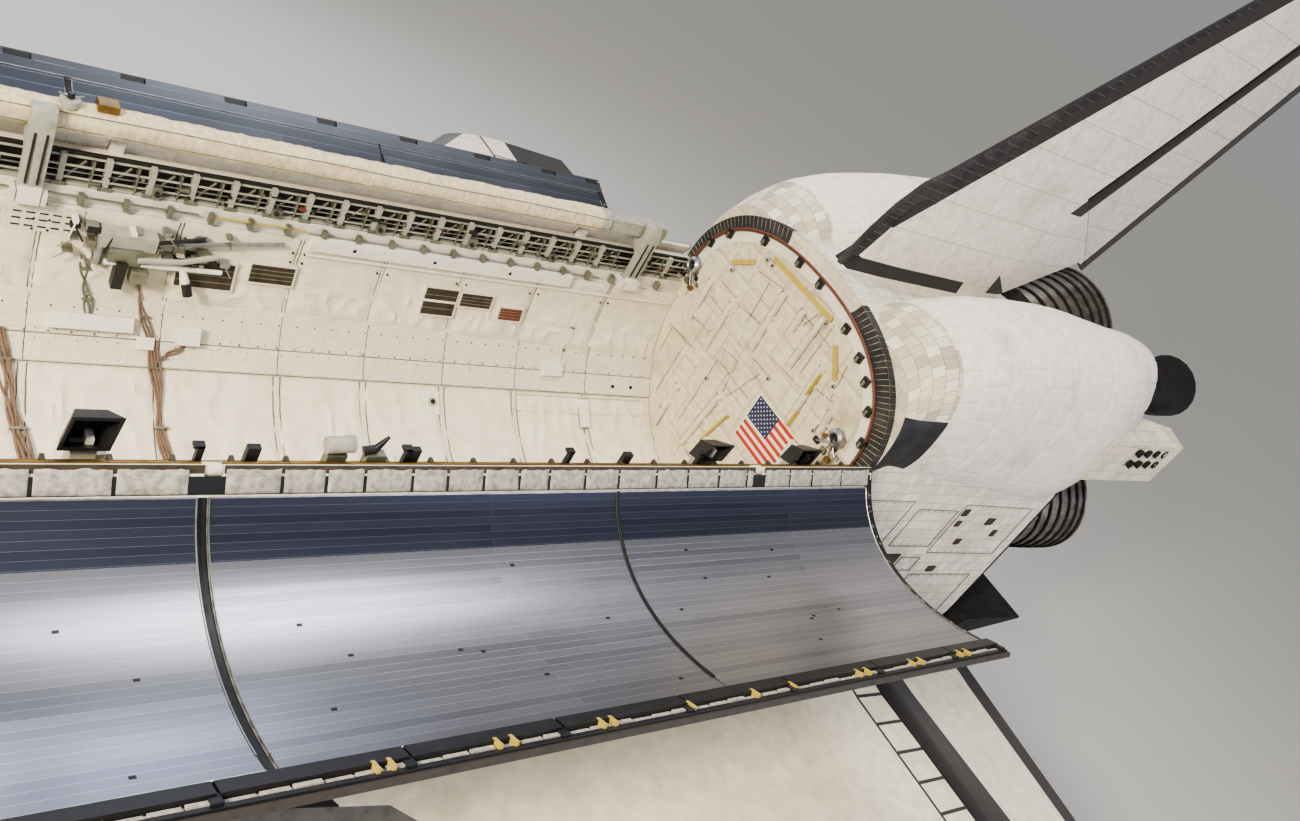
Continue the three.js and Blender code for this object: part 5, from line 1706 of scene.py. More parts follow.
@dataclass
class Sills:
    """The trusses, rods and fittings along both sills."""

    x: Pair = (586.0, 1303.0)
    truss: Pair = (95.6, 100.4)
    pitch: float = 19.2
    rails: tuple[tuple[float, float, Pair, Finish], ...] = (  # y, z, size
        (98, 415, (4.6, 1.2), GREY_PAINT),
        (96.2, 418.4, (0.9, 0.8), GREY_PAINT),
        (96.4, 421.6, (0.9, 0.6), ALUMINIUM),
        (96.2, 424.6, (0.9, 0.9), GREY_PAINT),
        (98.2, 428.5, (0.9, 1.0), GREY_PAINT),
        (100.5, 421.5, (0.5, 13), BLACK_PAINT),
        (99.4, 430, (1.6, 1.6), BLACK_PAINT),
    )
    rods: tuple[Pair, ...] = ((-100.2, 431.4), (-98.6, 430.2), (-97, 429))  # y and z
    posts: tuple[Pair, ...] = ((961, 437), (1135, 436), (1025, 437))  # x and height
    mouths: tuple[Point, ...] = (  # x, lowest and highest z
        (672, 426, 447), (907, 426, 449), (1191, 424, 443), (1260, 422, 441),
    )

    def starboard(self) -> None:
        """Makes the truss that stands on the starboard sill."""
        sketch, turn = Sketch(), random.Random(9)
        low, high = self.truss
        for y, z, size, finish in self.rails:
            sketch.beam((self.x[0], y, z), (self.x[1], y, z), size, finish)
        kinds = (DULL_ALUMINIUM, BLACK_PAINT, GREY_PAINT)
        for k in range(110):
            x = self.x[0] + 4 + k * self.pitch / 3
            if k % 3 == 2 or any(abs(x - at) < 8 for at in BOOM_MOUNTS):
                continue
            main = k % 3 == 1
            wide, top, finish = (1.3, 430.1, GREY_PAINT) if main else (0.45, 428.6, DULL_ALUMINIUM)
            sketch.box((x - wide, low, 414.2), (x + wide, high, top), finish)
            if main:
                top = (x + self.pitch * 0.5, 97.4, 427.5)
                sketch.beam((x + 1, 97.4, 416), top, (0.9, 0.9), DULL_ALUMINIUM)
                sketch.box((x - 3, 94.9, 413.9), (x + 3, 97, 416), DULL_ALUMINIUM)
            at, finish = x + turn.uniform(-2, 4), SEAL_RED if k % 13 == 4 else kinds[k % 3]
            w, h, z = turn.uniform(0.6, 2.8), turn.uniform(0.5, 2.4), turn.uniform(415, 426)
            sketch.box((at - w, 94.8, z), (at + w, 98, z + h), finish)
            if k % 9 == 4:
                sketch.box((x + 1, 93.8, 414.5), (x + 3.5 + w, 97, 419 + h), DULL_ALUMINIUM)
                sketch.pipe([(x + 3, 95, 418), (x + 3, 92.4, 418)], 1.3, BLACK_PAINT, 12)
        sketch.make("starboard_sill_truss", "airframe", "metal", bevel=0.12)

    def port(self) -> None:
        """Makes the rods, clamps and fittings on the port sill."""
        sketch = Sketch()
        for y, z in self.rods:
            sketch.pipe([(self.x[0], y, z), (self.x[1], y, z)], 0.62, GOLD_ROD, 10)
        sketch.beam((self.x[0], -98.2, 415), (self.x[1], -98.2, 415), (4.6, 1.2), GREY_PAINT)
        for k in range(36):
            x = self.x[0] + 10 + k * 19.9
            sketch.box((x - 0.8, -101, 427), (x + 0.8, -96.4, 431.9), BRONZE)
            sketch.box((x - 1.6, -100.8, 414.4), (x + 1.6, -96, 429), DULL_ALUMINIUM)
            if k % 4 == 1:
                sketch.box((x + 7, -98.4, 414.4), (x + 9.4, -96, 437.6), BLACK_PAINT)
                sketch.box((x + 5.4, -98.4, 436.4), (x + 9.4, -95.4, 437.8), BLACK_PAINT)
        for x, z in self.posts:
            sketch.box((x - 2.4, -98.4, 414.2), (x + 2.4, -95.6, z), BLACK_PAINT)
        for x in (993, 1009):
            sketch.box((x - 4, -98.6, 414.2), (x + 4, -94.6, 434), DULL_ALUMINIUM)
        sketch.pipe([(988, -96, 437), (999, -96, 438)], 3.4, GREY_PAINT, 16)
        sketch.pipe([(1004, -96, 434), (1009, -96, 436), (1012, -96, 442)], [2.2, 1.6, 0.7], BLACK_PAINT, 12)
        sketch.make("port_sill_rods", "airframe", "metal", bevel=0.12)

    def guides(self) -> None:
        """Makes the black, open boxes on the port pedestals."""
        sketch = Sketch()
        for x, low, high in self.mouths:
            mouth = [(x - 9, low + 8), (x + 7, low + 8), (x + 9, high), (x - 7, high)]
            throat = [(x - 6, low + 3), (x + 4, low + 3), (x + 6, high - 6), (x - 4, high - 6)]
            points = [(px, -97.5, pz) for px, pz in mouth] + [(px, -87, pz) for px, pz in throat]
            for ring, share, middle, y in (
                (mouth, 0.84, (low + high + 8) / 2, -97.5),
                (throat, 0.8, (low + high) / 2, -89),
            ):
                points += [(x + (px - x) * share, y, middle + (pz - middle) * 0.8) for px, pz in ring]
            faces = [(4, 5, 6, 7), (12, 13, 14, 15)]
            for k in range(4):
                n = (k + 1) % 4
                faces += [(k, n, 4 + n, 4 + k), (8 + k, 8 + n, 12 + n, 12 + k), (k, n, 8 + n, 8 + k)]
            sketch.add(points, faces, BLACK_PAINT)
            sketch.box((x - 4, -95, 414), (x + 4, -88, low + 6), GREY_PAINT)
            sketch.box((x - 7, -96, 413.9), (x + 7, -86, 417), DULL_ALUMINIUM)
        sketch.make("port_sill_guides", "airframe", "metal", bevel=0.15)

    def build(self) -> None:
        """Makes both sides and the guides."""
        self.starboard()
        self.port()
        self.guides()


@dataclass
class Boom:
    """The inspection boom: a tube wrapped in cloth, with its end arm and fittings."""

    x: Pair = (634.0, 1223.0)
    y: float = 102.6
    z: float = 445.8
    radius: float = 7.9
    tie_pitch: float = 36.8
    cords: tuple[Pair, ...] = ((2.5, 0.22), (3.5, 0.16))  # angle and radius
    blocks: tuple[tuple[Point, Point, Finish], ...] = (  # corners measured from the boom's axis
        ((621, -6, -6), (635, 6, 6), GREY_PAINT),
        ((1266, -4.4, -6), (1272.8, 3.6, 5), GREY_PAINT),
        ((932, -4, 6.6), (941, 4, 10.5), GOLD_ROD),
    )
    tubes: tuple[tuple[Point, Point, float, Finish, int], ...] = (
        ((635, 0, 0), (640, 0, 0), 7.2, ALUMINIUM, 24),
        ((1219, 0, 0), (1225, 0, 0), 7.6, GREY_PAINT, 24),
        ((1262, -5.6, 0), (1262, 5.6, 0), 4.8, GREY_PAINT, 20),
        ((921, -2, 6), (921, -2, 9.6), 4.4, GREY_PAINT, 20),
        ((921, -2, 9.6), (921, -2, 12.4), 1.5, BLACK_PAINT, 14),
    )

    def on(self, x: float, angle: float, radius: float) -> Point:
        """A point round the boom's axis."""
        return x, self.y + radius * math.cos(angle), self.z + radius * math.sin(angle)

    def off(self, point: Point) -> Point:
        """A point measured from the boom's axis, in stations."""
        return point[0], self.y + point[1], self.z + point[2]

    def sleeve(self, sketch: Sketch) -> None:
        """Adds the wrinkled wrap, tied down along its length.

        Args:
            sketch: Where it goes.
        """
        ties = [self.x[0] + k * self.tie_pitch for k in range(17)]

        def place(u: float, v: float) -> Point:
            x, a = along(self.x, u), 2 * math.pi * v
            tied = max(1 - min(abs(x - tie) for tie in ties) / 7, 0) ** 2
            around = Vector((x * 0.05, math.cos(a) * 1.4, math.sin(a) * 1.4))
            twist = Vector((x * 0.16 + 2.6 * math.sin(a + 0.8), math.cos(a) * 0.5, 4.0))
            bulge = 0.85 * noise.noise(around) + 0.5 * (1 - abs(noise.noise(twist) * 2)) ** 2
            return self.on(x, a, self.radius - 0.85 + bulge * (1 - 0.5 * tied) - 0.2 * tied)

        sketch.sheet(place, 420, 40, BOOM_CLOTH)
        for angle, radius in self.cords:
            row = []
            for x in (along(self.x, i / 240) for i in range(241)):
                row.append(self.on(x, angle + 0.1 * noise.noise(Vector((x / 40, angle, 0))), 7.75))
            sketch.pipe(row, radius, STITCH_AND_SHADOW, 6)

    def ends(self, sketch: Sketch) -> None:
        """Adds the head, the flat end arm and the grapple fixtures.

        Args:
            sketch: Where it goes.
        """
        for low, high, finish in self.blocks:
            sketch.box(self.off(low), self.off(high), finish)
        for start, end, radius, finish, sides in self.tubes:
            sketch.pipe([self.off(start), self.off(end)], radius, finish, sides)
        sketch.beam(self.off((1221, 0, 0)), self.off((1273, 0, 0)), (9.6, 8.4), GREY_PAINT)
        for x in BOOM_MOUNTS:
            for shift in (-2.4, 2.4):
                sketch.box((x + shift - 0.5, 88.1, 416), (x + shift + 0.5, 89.2, 442), BLACK_PAINT)
            sketch.box((x - 4.8, 86.9, 406), (x + 4.8, 89.4, 414.5), WHITE_PAINT)
        for x in (916, 926):
            sketch.beam(self.off((921, -2, 9.6)), self.off((x, -2, 11.6)), (0.8, 0.8), ALUMINIUM)

    def build(self) -> None:
        """Makes the boom, which stands for the CAD node of that name."""
        wrap = Sketch()
        self.sleeve(wrap)
        piece = wrap.make("boom_wrap", "boom_body", "blanket", ["inspection_boom"])
        gear = Sketch()
        self.ends(gear)
        gear.make("boom_ends", "boom_body", "metal", bevel=0.3)


@dataclass
class AftBulkhead:
    """The quilted wall at the bay's aft end, with its flag, rails and latches."""

    face: float = 1306.7
    seal: float = 8.6
    ring: float = 17.0
    flag_y: Pair = (-15.2, -70.2)
    flag_z: Pair = (376.8, 408.9)
    stripes: int = 13
    rails: tuple[tuple[float, ...], ...] = (  # y and z of both ends, as for the ridges and seams
        (35, 479, -28, 480), (-40, 471, -54, 456), (63, 455, 47, 467),
        (3, 352, -4, 381), (-46, 412, -46, 424), (-44, 436, -44, 452),
    )
    latches: tuple[Pair, ...] = (  # y and z
        (79, 467), (50, 482), (17, 489.4), (-5, 489.8), (-39, 483),
        (-58, 477), (-71, 470), (-84, 459), (-93, 443), (90, 452),
    )
    ridges: tuple[tuple[float, ...], ...] = (
        (12, 423, 14, 468), (-20, 437, -21, 478), (-43, 413, -41, 455), (45, 396, 46, 434),
        (-6, 451, -6, 470), (71, 402, 72, 433), (47, 326, 47, 362), (17, 336, 12, 384),
        (-66, 424, -64, 440),
    )
    seams: tuple[tuple[float, ...], ...] = (
        (15, 411, 12, 387), (29, 465, 27, 435), (80, 386, 79, 367), (44, 437, 17, 441),
        (42, 464, 17, 469), (-5, 432, -36, 434), (-6, 468, -38, 467), (-45, 442, -62, 445),
        (67, 425, 48, 425), (64, 439, 45, 439), (33, 408, 15, 411), (84, 386, 51, 390),
        (72, 404, 49, 408), (8, 421, -12, 422), (-58, 446, -54, 468), (30, 345, 30, 400),
        (62, 345, 62, 384), (12, 336, -12, 334), (28, 400, -8, 400), (-72, 404, -88, 405),
        (-30, 440, -30, 478), (86, 410, 86, 430), (7, 388, -5, 418), (40, 476, -12, 479),
        (-11, 462, -17, 478),
    )
    studs: tuple[Pair, ...] = (
        (-13, 421), (29, 384), (49, 340), (-62, 423), (61, 450),
        (40, 474), (34, 474), (-25, 475), (-55, 452), (-62, 408),
    )
    drums: tuple[tuple[int, float, float], ...] = ((-1, -78, 428), (1, 92, 427))  # side, y, z
    drum: tuple[Pair, ...] = ((0, 6.4), (3.4, 5.6), (5.0, 3.9), (4.2, 3.0), (1.6, 2.6))

    def inside(self, y: float, z: float, inset: float) -> bool:
        """Whether a point of the wall is inside its outline by an inset.

        Args:
            y: The point's y.
            z: Its height.
            inset: How far inside it has to be.

        Returns:
            Whether it is.
        """
        if z >= SHOULDER:
            return (abs(y) / (HALF - inset)) ** SQUARE + ((z - SHOULDER) / (CROWN - inset)) ** SQUARE <= 1
        if z >= BAY_Z:
            return abs(y) <= BAY_R - inset + (z > 414) * 6
        return math.hypot(y, z - BAY_Z) <= BAY_R - inset

    def panes(self) -> list[tuple[float, float, float, float]]:
        """Splits the wall into blankets of uneven size, as rows of (y0, y1, z0, z1)."""
        turn = random.Random(17)
        todo, done = [(-104.0, 104.0, 306.0, 502.0)], []
        while todo:
            y0, y1, z0, z1 = todo.pop()
            wide, tall = y1 - y0, z1 - z0
            if max(wide, tall) < turn.uniform(24, 46):
                done.append((y0, y1, z0, z1))
                continue
            cut = turn.uniform(0.36, 0.64)
            if wide * turn.uniform(0.8, 1.25) > tall:
                todo += [(y0, y0 + wide * cut, z0, z1), (y0 + wide * cut, y1, z0, z1)]
            else:
                todo += [(y0, y1, z0, z0 + tall * cut), (y0, y1, z0 + tall * cut, z1)]
        return done

    def covered(self, y: Pair, z: Pair) -> bool:
        """Whether the flag lies over a pane, which then stays flat."""
        (east, west), (low, high) = self.flag_y, self.flag_z
        return y[1] > west - 3 and y[0] < east + 3 and z[1] > low - 3 and z[0] < high + 3

    def quilts(self) -> None:
        """Makes the puffed blankets, one slab for each pane."""
        sketch = Sketch()
        for n, (y0, y1, z0, z1) in enumerate(self.panes()):
            across, up = max(int((y1 - y0) / 1.5), 4), max(int((z1 - z0) / 1.5), 4)
            thick = 0.6 + 0.3 * noise.noise(Vector((n * 3.3, 1, 2)))
            flat = self.covered((y0, y1), (z0, z1))

            def place(u: float, v: float) -> Point:
                y, z = y0 + 0.2 + (y1 - y0 - 0.4) * u, z0 + 0.2 + (z1 - z0 - 0.4) * v
                puff = math.sqrt(max(swell(u, 16) * swell(v, 16), 0))
                if flat:
                    return self.face - 0.1 - puff * 0.9, y, z
                folds = 1.3 * ridge(y / 8, z / 8, n * 1.7) + 0.4 * noise.noise(Vector((y / 3, z / 3, n)))
                return self.face - 0.1 - puff * (thick + folds), y, z

            def keep(u: float, v: float) -> bool:
                return self.inside(along((y0, y1), u), along((z0, z1), v), self.ring - 1)

            sketch.sheet(place, across, up, BULKHEAD_CLOTH, keep=keep)
        sketch.make("aft_wall_blankets", "airframe", "blanket")

    def flag(self) -> None:
        """Makes the striped and starred flag from strips and small stars."""
        sketch = Sketch()
        (y0, y1), (z0, z1) = self.flag_y, self.flag_z
        x, width, height = self.face - 1.3, y1 - y0, z1 - z0
        sketch.box((x, y1 - 1, z0 - 1), (x + 0.5, y0 + 1, z1 + 1), FLAG_WHITE)
        step = height / self.stripes
        canton_low, canton_far = z1 - 7 * step, y0 + width * 0.4
        for i in range(0, self.stripes, 2):
            top = z1 - i * step
            from_y = canton_far if top > canton_low + 0.01 else y0
            sketch.box((x - 0.12, y1, top - step), (x, from_y, top), FLAG_RED)
        sketch.box((x - 0.16, canton_far, canton_low), (x, y0, z1), FLAG_BLUE)
        for row in range(9):
            for k in range(6 - row % 2):
                y = y0 + (canton_far - y0) * (k + 0.5 + 0.5 * (row % 2)) / 6
                z = z1 - (z1 - canton_low) * (row + 0.8) / 9.6
                star = [(x - 0.2, y, z)]
                for corner in range(10):
                    a, r = math.pi / 2 + corner * math.pi / 5, (0.74, 0.3)[corner % 2]
                    star.append((x - 0.2, y + r * math.cos(a), z + r * math.sin(a)))
                sketch.add(star, [(0, c + 1, (c + 1) % 10 + 1) for c in range(10)], FLAG_WHITE)
        sketch.make("wall_flag", "airframe", "blanket")

    def fittings(self) -> None:
        """Makes the seal, the yellow rails, the latches and the hinge drums."""
        sketch, x = Sketch(), self.face
        loops = ((self.seal, 0.8, SEAL_RED, 2.2), (self.seal + 1.3, 0.5, DULL_ALUMINIUM, 1.6))
        for inset, radius, finish, depth in loops:
            sketch.pipe([self.arch(k / 120, inset, depth) for k in range(121)], radius, finish, 8)
        for y0, z0, y1, z1 in self.rails:
            a, b = (x - 3.4, y0, z0), (x - 3.4, y1, z1)
            sketch.beam(a, b, (0.9, 3.2), YELLOW_PAINT)
            for f in (0.05, 0.5, 0.95):
                p = Vector(a).lerp(Vector(b), f)
                sketch.pipe([tuple(p), (x - 0.5, p.y, p.z)], 0.5, YELLOW_PAINT, 8)
        for y, z in self.latches:
            sketch.box((x - 3.4, y - 2.5, z - 3), (x - 0.8, y + 2.5, z + 2.4), BLACK_PAINT)
            sketch.box((x - 4.2, y - 0.9, z - 3.6), (x - 2.4, y + 0.9, z + 0.4), DULL_ALUMINIUM)
        kinds = (ALUMINIUM, BLACK_PAINT, DULL_ALUMINIUM, GOLD_ROD)
        for side, y, z in self.drums:
            lathe(sketch, (x - 0.6, y, z + 4), (-1, 0, 0), self.drum, ALUMINIUM, 28)
            sketch.pipe([(x - 2.4, y, z + 4), (x - 1.2, y, z + 4)], 2.8, BLACK_PAINT, 20)
            for k in range(9):
                r, size = 5.5 + 0.9 * k, 1.1 + 0.35 * (k % 3)
                py, pz = y - side * 2 + r * math.cos(2.4 * k), z - 4 + 0.55 * r * math.sin(2.4 * k)
                low = (x - 2.2 - 0.5 * (k % 4), py - size * 1.3, pz - size)
                sketch.box(low, (x - 0.6, py + size * 1.3, pz + size * 0.8), kinds[k % 4])
                sketch.pipe([(x - 3.2, y, z), (x - 2.6, py, pz)], 0.45, STEEL, 6)
        sketch.make("aft_wall_fittings", "airframe", "metal", bevel=0.1)

    def arch(self, u: float, inset: float, depth: float) -> Point:
        """A point on the top's line, u from 0 on starboard to 1 on port, depth forward of the wall."""
        y, z = crown(u * 180 if u <= 0.5 else (1 - u) * 180, inset)
        return self.face - depth, y if u <= 0.5 else -y, z

    def edge(self, u: float, v: float) -> Point:
        """A point of the tiled edge, u from the seal outwards."""
        inset = self.seal * (1 - u)
        return self.arch(v, inset, -0.22 + 0.3 * max(inset - 5.6, 0))

    def rims(self) -> None:
        """Makes the smooth ring inside the seal and the tiled edge outside it, black beside the pods."""
        sketch = Sketch()
        sketch.sheet(lambda u, v: self.arch(v, along((self.seal, self.ring), u), 1.3), 4, 160, RING_FELT)
        for k in range(72):
            tile = (k / 72, (k + 0.94) / 72)
            finish = EDGE_TILE if abs(self.edge(0.5, sum(tile) / 2)[1]) > 37 else POD_FACE
            sketch.sheet(lambda u, v: self.edge(u, along(tile, v)), 5, 3, finish)
            sketch.sheet(lambda u, v: self.arch(along(tile, v), -0.2, -0.22 - 5.3 * u), 1, 3, finish)
        sketch.make("aft_wall_rims", "airframe", "black_tile")

    def channels(self) -> None:
        """Makes the covered stiffeners that stand proud, with dark lines along them as painted shadow, wider
        on one side, and the stitched seams between them, drawn dark as painted shadow outlines.
        """
        sketch = Sketch()
        for y0, z0, y1, z1 in self.ridges:
            a, b = Vector((0, y0, z0)), Vector((0, y1, z1))
            side = (b - a).normalized().cross(Vector((1, 0, 0)))

            def bar(u: float, v: float) -> Point:
                at = a.lerp(b, u) + side * (2 * v - 1) * 2.4
                rise = 2.8 * math.sqrt(max(swell(v, 4) * swell(u, 24), 0))
                rise += 0.35 * ridge(at.y / 5, at.z / 5, 3)
                return self.face - 0.4 - rise, at.y, at.z

            sketch.sheet(bar, 30, 8, BULKHEAD_CLOTH)
            # painted shadow: a dark line along each side of the stiffener, wider on one side
            for m in (-1, 1):
                ends = [p + side * m * 2.7 for p in (a, b)]
                sketch.pipe([(self.face - 1.2, p.y, p.z) for p in ends], 0.36 + 0.16 * m, STITCH_AND_SHADOW, 6)
        # the seams' dark lines stand for their painted shadow outlines
        for y0, z0, y1, z1 in self.seams:
            row = []
            for i in range(13):
                y, z = along((y0, y1), i / 12), along((z0, z1), i / 12)
                sway = 0.5 * noise.noise(Vector((y, z, 1)) * 0.3)
                row.append((self.face - 1.5, y + sway, z + 0.3 * math.sin(i * 2.1 + y0)))
            sketch.pipe(row, 0.22, STITCH_AND_SHADOW, 6)
        for y, z in self.studs:
            sketch.pipe([(self.face - 2.4, y, z), (self.face - 0.5, y, z)], 1.5, GREY_PAINT, 14)
            sketch.pipe([(self.face - 2.6, y, z), (self.face - 2.2, y, z)], 0.8, BLACK_PAINT, 12)
        sketch.make("aft_wall_channels", "airframe", "blanket")

    def build(self) -> None:
        """Makes the wall's cover and fittings."""
        self.quilts()
        self.rims()
        self.channels()
        self.flag()
        self.fittings()


MIRROR = Matrix.Scale(-1, 4, (0, 1, 0))  # starboard to port


@dataclass
class Pods:
    """The engine pods on the shoulders of the aft fuselage."""

    rows: tuple[tuple[float, ...], ...] = (
        (1312.1, 43.5, 398, 445, 492, 2.3, 2.6, 61.5),
        (1326, 44, 412, 459, 506, 2.3, 2.6, 63),
        (1352, 46.5, 415, 467, 519, 2.3, 2.6, 66.5),
        (1392, 49, 411, 470, 529, 2.3, 2.6, 70),
        (1450, 48, 406, 471, 536, 2.3, 2.6, 77),
        (1500, 39.5, 405, 471, 537, 2.3, 2.6, 87.5),
        (1534, 33.5, 411, 472, 533, 2.3, 2.6, 85.5),
        (1556, 24.5, 425, 473, 521, 2.3, 2.6, 80),
    )
    tiles_to: float = 1339.0
    columns: tuple[float, ...] = (1339, 1352, 1374, 1403, 1433, 1467, 1500, 1531, 1556)
    around: int = 15
    front: Point = (1308.5, 61.5, 445)
    housing: tuple[Point, ...] = (  # four corners forward and four aft
        (1500, 104, 444), (1500, 126, 446), (1500, 128, 482), (1500, 104, 494),
        (1590, 117, 450), (1590, 132, 450), (1590, 133, 484), (1590, 117, 488),
    )
    sideways: tuple[Pair, ...] = ((0, 2.6), (2.9, 3.3), (2.9, 2.9), (0.5, 0.6))  # nozzles' profiles
    backwards: tuple[Pair, ...] = ((0, 2.0), (4.2, 2.9), (4.2, 2.5), (1, 0.6))

    def blankets(self, sketch: Sketch, hull: Hull) -> None:
        """Adds the blankets behind the tiles, each pillowed between its seams.

        Args:
            sketch: Where it goes.
            hull: The pod's hull.
        """
        for n, (x0, x1) in enumerate(zip(self.columns, self.columns[1:])):
            for k in range(self.around):
                v0 = (k + 0.5 * (n % 2) * (n < 6)) / self.around

                def place(u: float, v: float, x0: float = x0, x1: float = x1, v0: float = v0) -> Point:
                    x, share = x0 + (x1 - x0) * u, (v0 + v / self.around) % 1
                    puff = math.sqrt(max(swell(u, 30) * swell(v, 30), 0))
                    dents = 0.3 * noise.noise(Vector((x / 9, share * 40, 3)))
                    return hull.ring(x, share, 0.5 * (puff - 1) + dents * puff - 0.3)

                sketch.sheet(place, 18, 18, POD_CLOTH)

    def face(self, sketch: Sketch, hull: Hull) -> None:
        """Adds the rounded front, which closes the tiles to a dome.

        Args:
            sketch: Where it goes.
            hull: The pod's hull.
        """
        x, middle = self.rows[0][0], Vector(self.front)

        def place(u: float, v: float) -> Point:
            at = middle.lerp(Vector(hull.ring(x, v)), u)
            return x + 1.5 * (1 - u**4), at.y, at.z

        sketch.sheet(place, 12, 96, POD_FACE)

    def build(self) -> None:
        """Makes both pods, each with its thruster housing."""
        hull = Hull(self.rows)
        for label, turn in (("starboard", FRAME), ("port", MIRROR)):
            sketch, holes = Sketch(STATIONS @ turn), Sketch(STATIONS @ turn)
            self.face(sketch, hull)
            hull.skin(sketch, POD_TILE, (self.rows[0][0], self.tiles_to), 20)
            hull.skin(sketch, POD_SEAM, (self.tiles_to, self.rows[-1][0]), 50, True, -0.85)
            self.blankets(sketch, hull)
            sketch.add(self.housing, PRISM, POD_FACE)
            sketch.make(f"{label}_pod_skin", "airframe", "blanket", [f"{label}_pod"])
            for x in (1538, 1550, 1562, 1574):
                for z in (466, 476):
                    lathe(holes, (x, 129.6, z), (0.1, 1, 0), self.sideways, NIOBIUM, 20)
            for z in (459, 468, 477):
                lathe(holes, (1587.4, 125, z), (1, 0, 0), self.backwards, NIOBIUM, 20)
            holes.make(f"{label}_pod_thrusters", "airframe", "dark_bell")


@dataclass
class FinFront:
    """The tiled front edge of the fin, with the curve down to its foot."""

    edge: tuple[Pair, ...] = (
        (1312.6, 503.6), (1314.5, 512), (1320, 530), (1328, 549),
        (1339, 566), (1352.4, 577), (1592.8, 817.6),
    )
    wide: float = 21.5

    def place(self, u: float, v: float, lift: float = 0.0) -> Point:
        """A point at a share of the edge's height, v from -1 to 1 round it.

        Args:
            u: The share of the height.
            v: Round the edge, zero at its front.
            lift: How far it stands off.

        Returns:
            The point in stations.
        """
        z = self.edge[0][1] + (self.edge[-1][1] - self.edge[0][1]) * u
        x = next(
            a[0] + (b[0] - a[0]) * (z - a[1]) / (b[1] - a[1])
            for a, b in zip(self.edge, self.edge[1:])
            if z <= b[1] + 0.001
        )
        deep = 1 - 0.6 * u
        y = deep * (1.0 + 4.3 * abs(v) ** 0.6) * (1 if v > 0 else -1) if v else 0.0
        return x - lift + self.wide * abs(v), y, z

    def build(self) -> None:
        """Makes the tiles of the edge, with their joints."""
        sketch = Sketch()
        sketch.sheet(lambda u, v: self.place(u, 2 * v - 1), 120, 24, EDGE_TILE, spans=(440, 46))
        for k in range(54):
            u = (k + 0.5) / 54
            line = [self.place(u, -1 + i / 8, 0.05) for i in range(17)]
            sketch.pipe([(x, y * 1.01, z) for x, y, z in line], 0.16, STITCH_AND_SHADOW, 4)
        for side in (-1, 1):
            for x in (1322, 1330):
                sketch.pipe([(x, side * 21, 494.5), (x, side * 21.4, 497)], 1.1, BLACK_PAINT, 10)
        sketch.make("fin_front_tiles", "airframe", "black_tile")


@dataclass
class MainEngine:
    """The hoops and the lip round one main engine's bell."""

    name: str
    at: Point
    pitch: float
    yaw: float
    profile: tuple[Pair, ...] = ((42, 13), (62, 23), (88, 34.5), (110, 40.3), (132, 44), (157, 46.8))
    hoops: tuple[int, ...] = (74, 84, 94, 103, 112, 121, 130, 139, 147, 154)
    lip: float = 156.6

    def build(self) -> None:
        """Makes the hoops and the lip."""
        sketch = Sketch()
        p, q = math.radians(self.pitch), math.radians(self.yaw)
        way = (math.cos(p) * math.cos(q), math.cos(p) * math.sin(q), math.sin(p))
        places, radii = zip(*self.profile)
        for s in self.hoops:
            r = smooth_between(places, radii, s)
            hoop = ((s - 1.1, r - 0.4), (s - 0.9, r + 0.9), (s + 0.9, r + 1.0), (s + 1.1, r - 0.4))
            lathe(sketch, self.at, way, hoop, NICKEL_DARK, 72)
        r = smooth_between(places, radii, self.lip)
        lip = ((155.4, r + 0.2), (156.9, r + 0.6), (157.1, r - 1.4), (155.4, r - 1.6))
        lathe(sketch, self.at, way, lip, NICKEL, 72)
        sketch.make(f"{self.name}_hoops", "airframe", "bell")


@dataclass
class AftSides:
    """The vents and service panels on both sides of the aft fuselage."""

    vents: tuple[tuple[float, ...], ...] = (  # x from and to, z from and to
        (1384, 1404, 349.5, 360), (1443, 1451, 343.5, 348.5), (1430, 1436, 398, 404), (1432, 1437, 388, 393),
        (1447, 1453, 371, 376), (1462, 1470, 391, 397), (1478, 1483, 380, 386),
    )
    panels: tuple[tuple[float, ...], ...] = (
        (1407, 1426, 344, 357), (1428, 1500, 362, 408), (1330, 1374, 368, 409),
        (1384, 1424, 368, 402), (1330, 1376, 310, 362), (1430, 1496, 300, 340),
    )
    pitch: float = 7.0

    def reach(self, x: float) -> float:
        """The half width of the aft fuselage at x."""
        return 105 + max(x - 1312, 0) * 0.0462 + max(x - 1400, 0) * 0.0345

    def build(self) -> None:
        """Makes the black vents, the panels' edges and their fasteners."""
        sketch = Sketch()
        for side in (-1, 1):
            for x0, x1, z0, z1 in self.vents:
                y0, y1 = sorted((side * (self.reach(x0) - 0.6), side * (self.reach(x1) + 0.25)))
                sketch.box((x0, y0, z0), (x1, y1, z1), VENT_MESH)
            for x0, x1, z0, z1 in self.panels:
                rim = ((x0, z0), (x1, z0), (x1, z1), (x0, z1))
                corners = [(x, side * (self.reach(x) + 0.02), z) for x, z in rim]
                for a, b in zip(corners, corners[1:] + corners[:1]):
                    sketch.pipe([a, b], 0.28, STITCH_AND_SHADOW, 6)
                for x in (x0 + 3.5 + k * self.pitch for k in range(int((x1 - x0) / self.pitch))):
                    for z in (z0 + 1.6, z1 - 1.6):
                        screw = [(x, side * (self.reach(x) + depth), z) for depth in (-0.2, 0.2)]
                        sketch.pipe(screw, 0.4, DULL_ALUMINIUM, 8)
        sketch.make("aft_side_panels", "airframe", "metal")


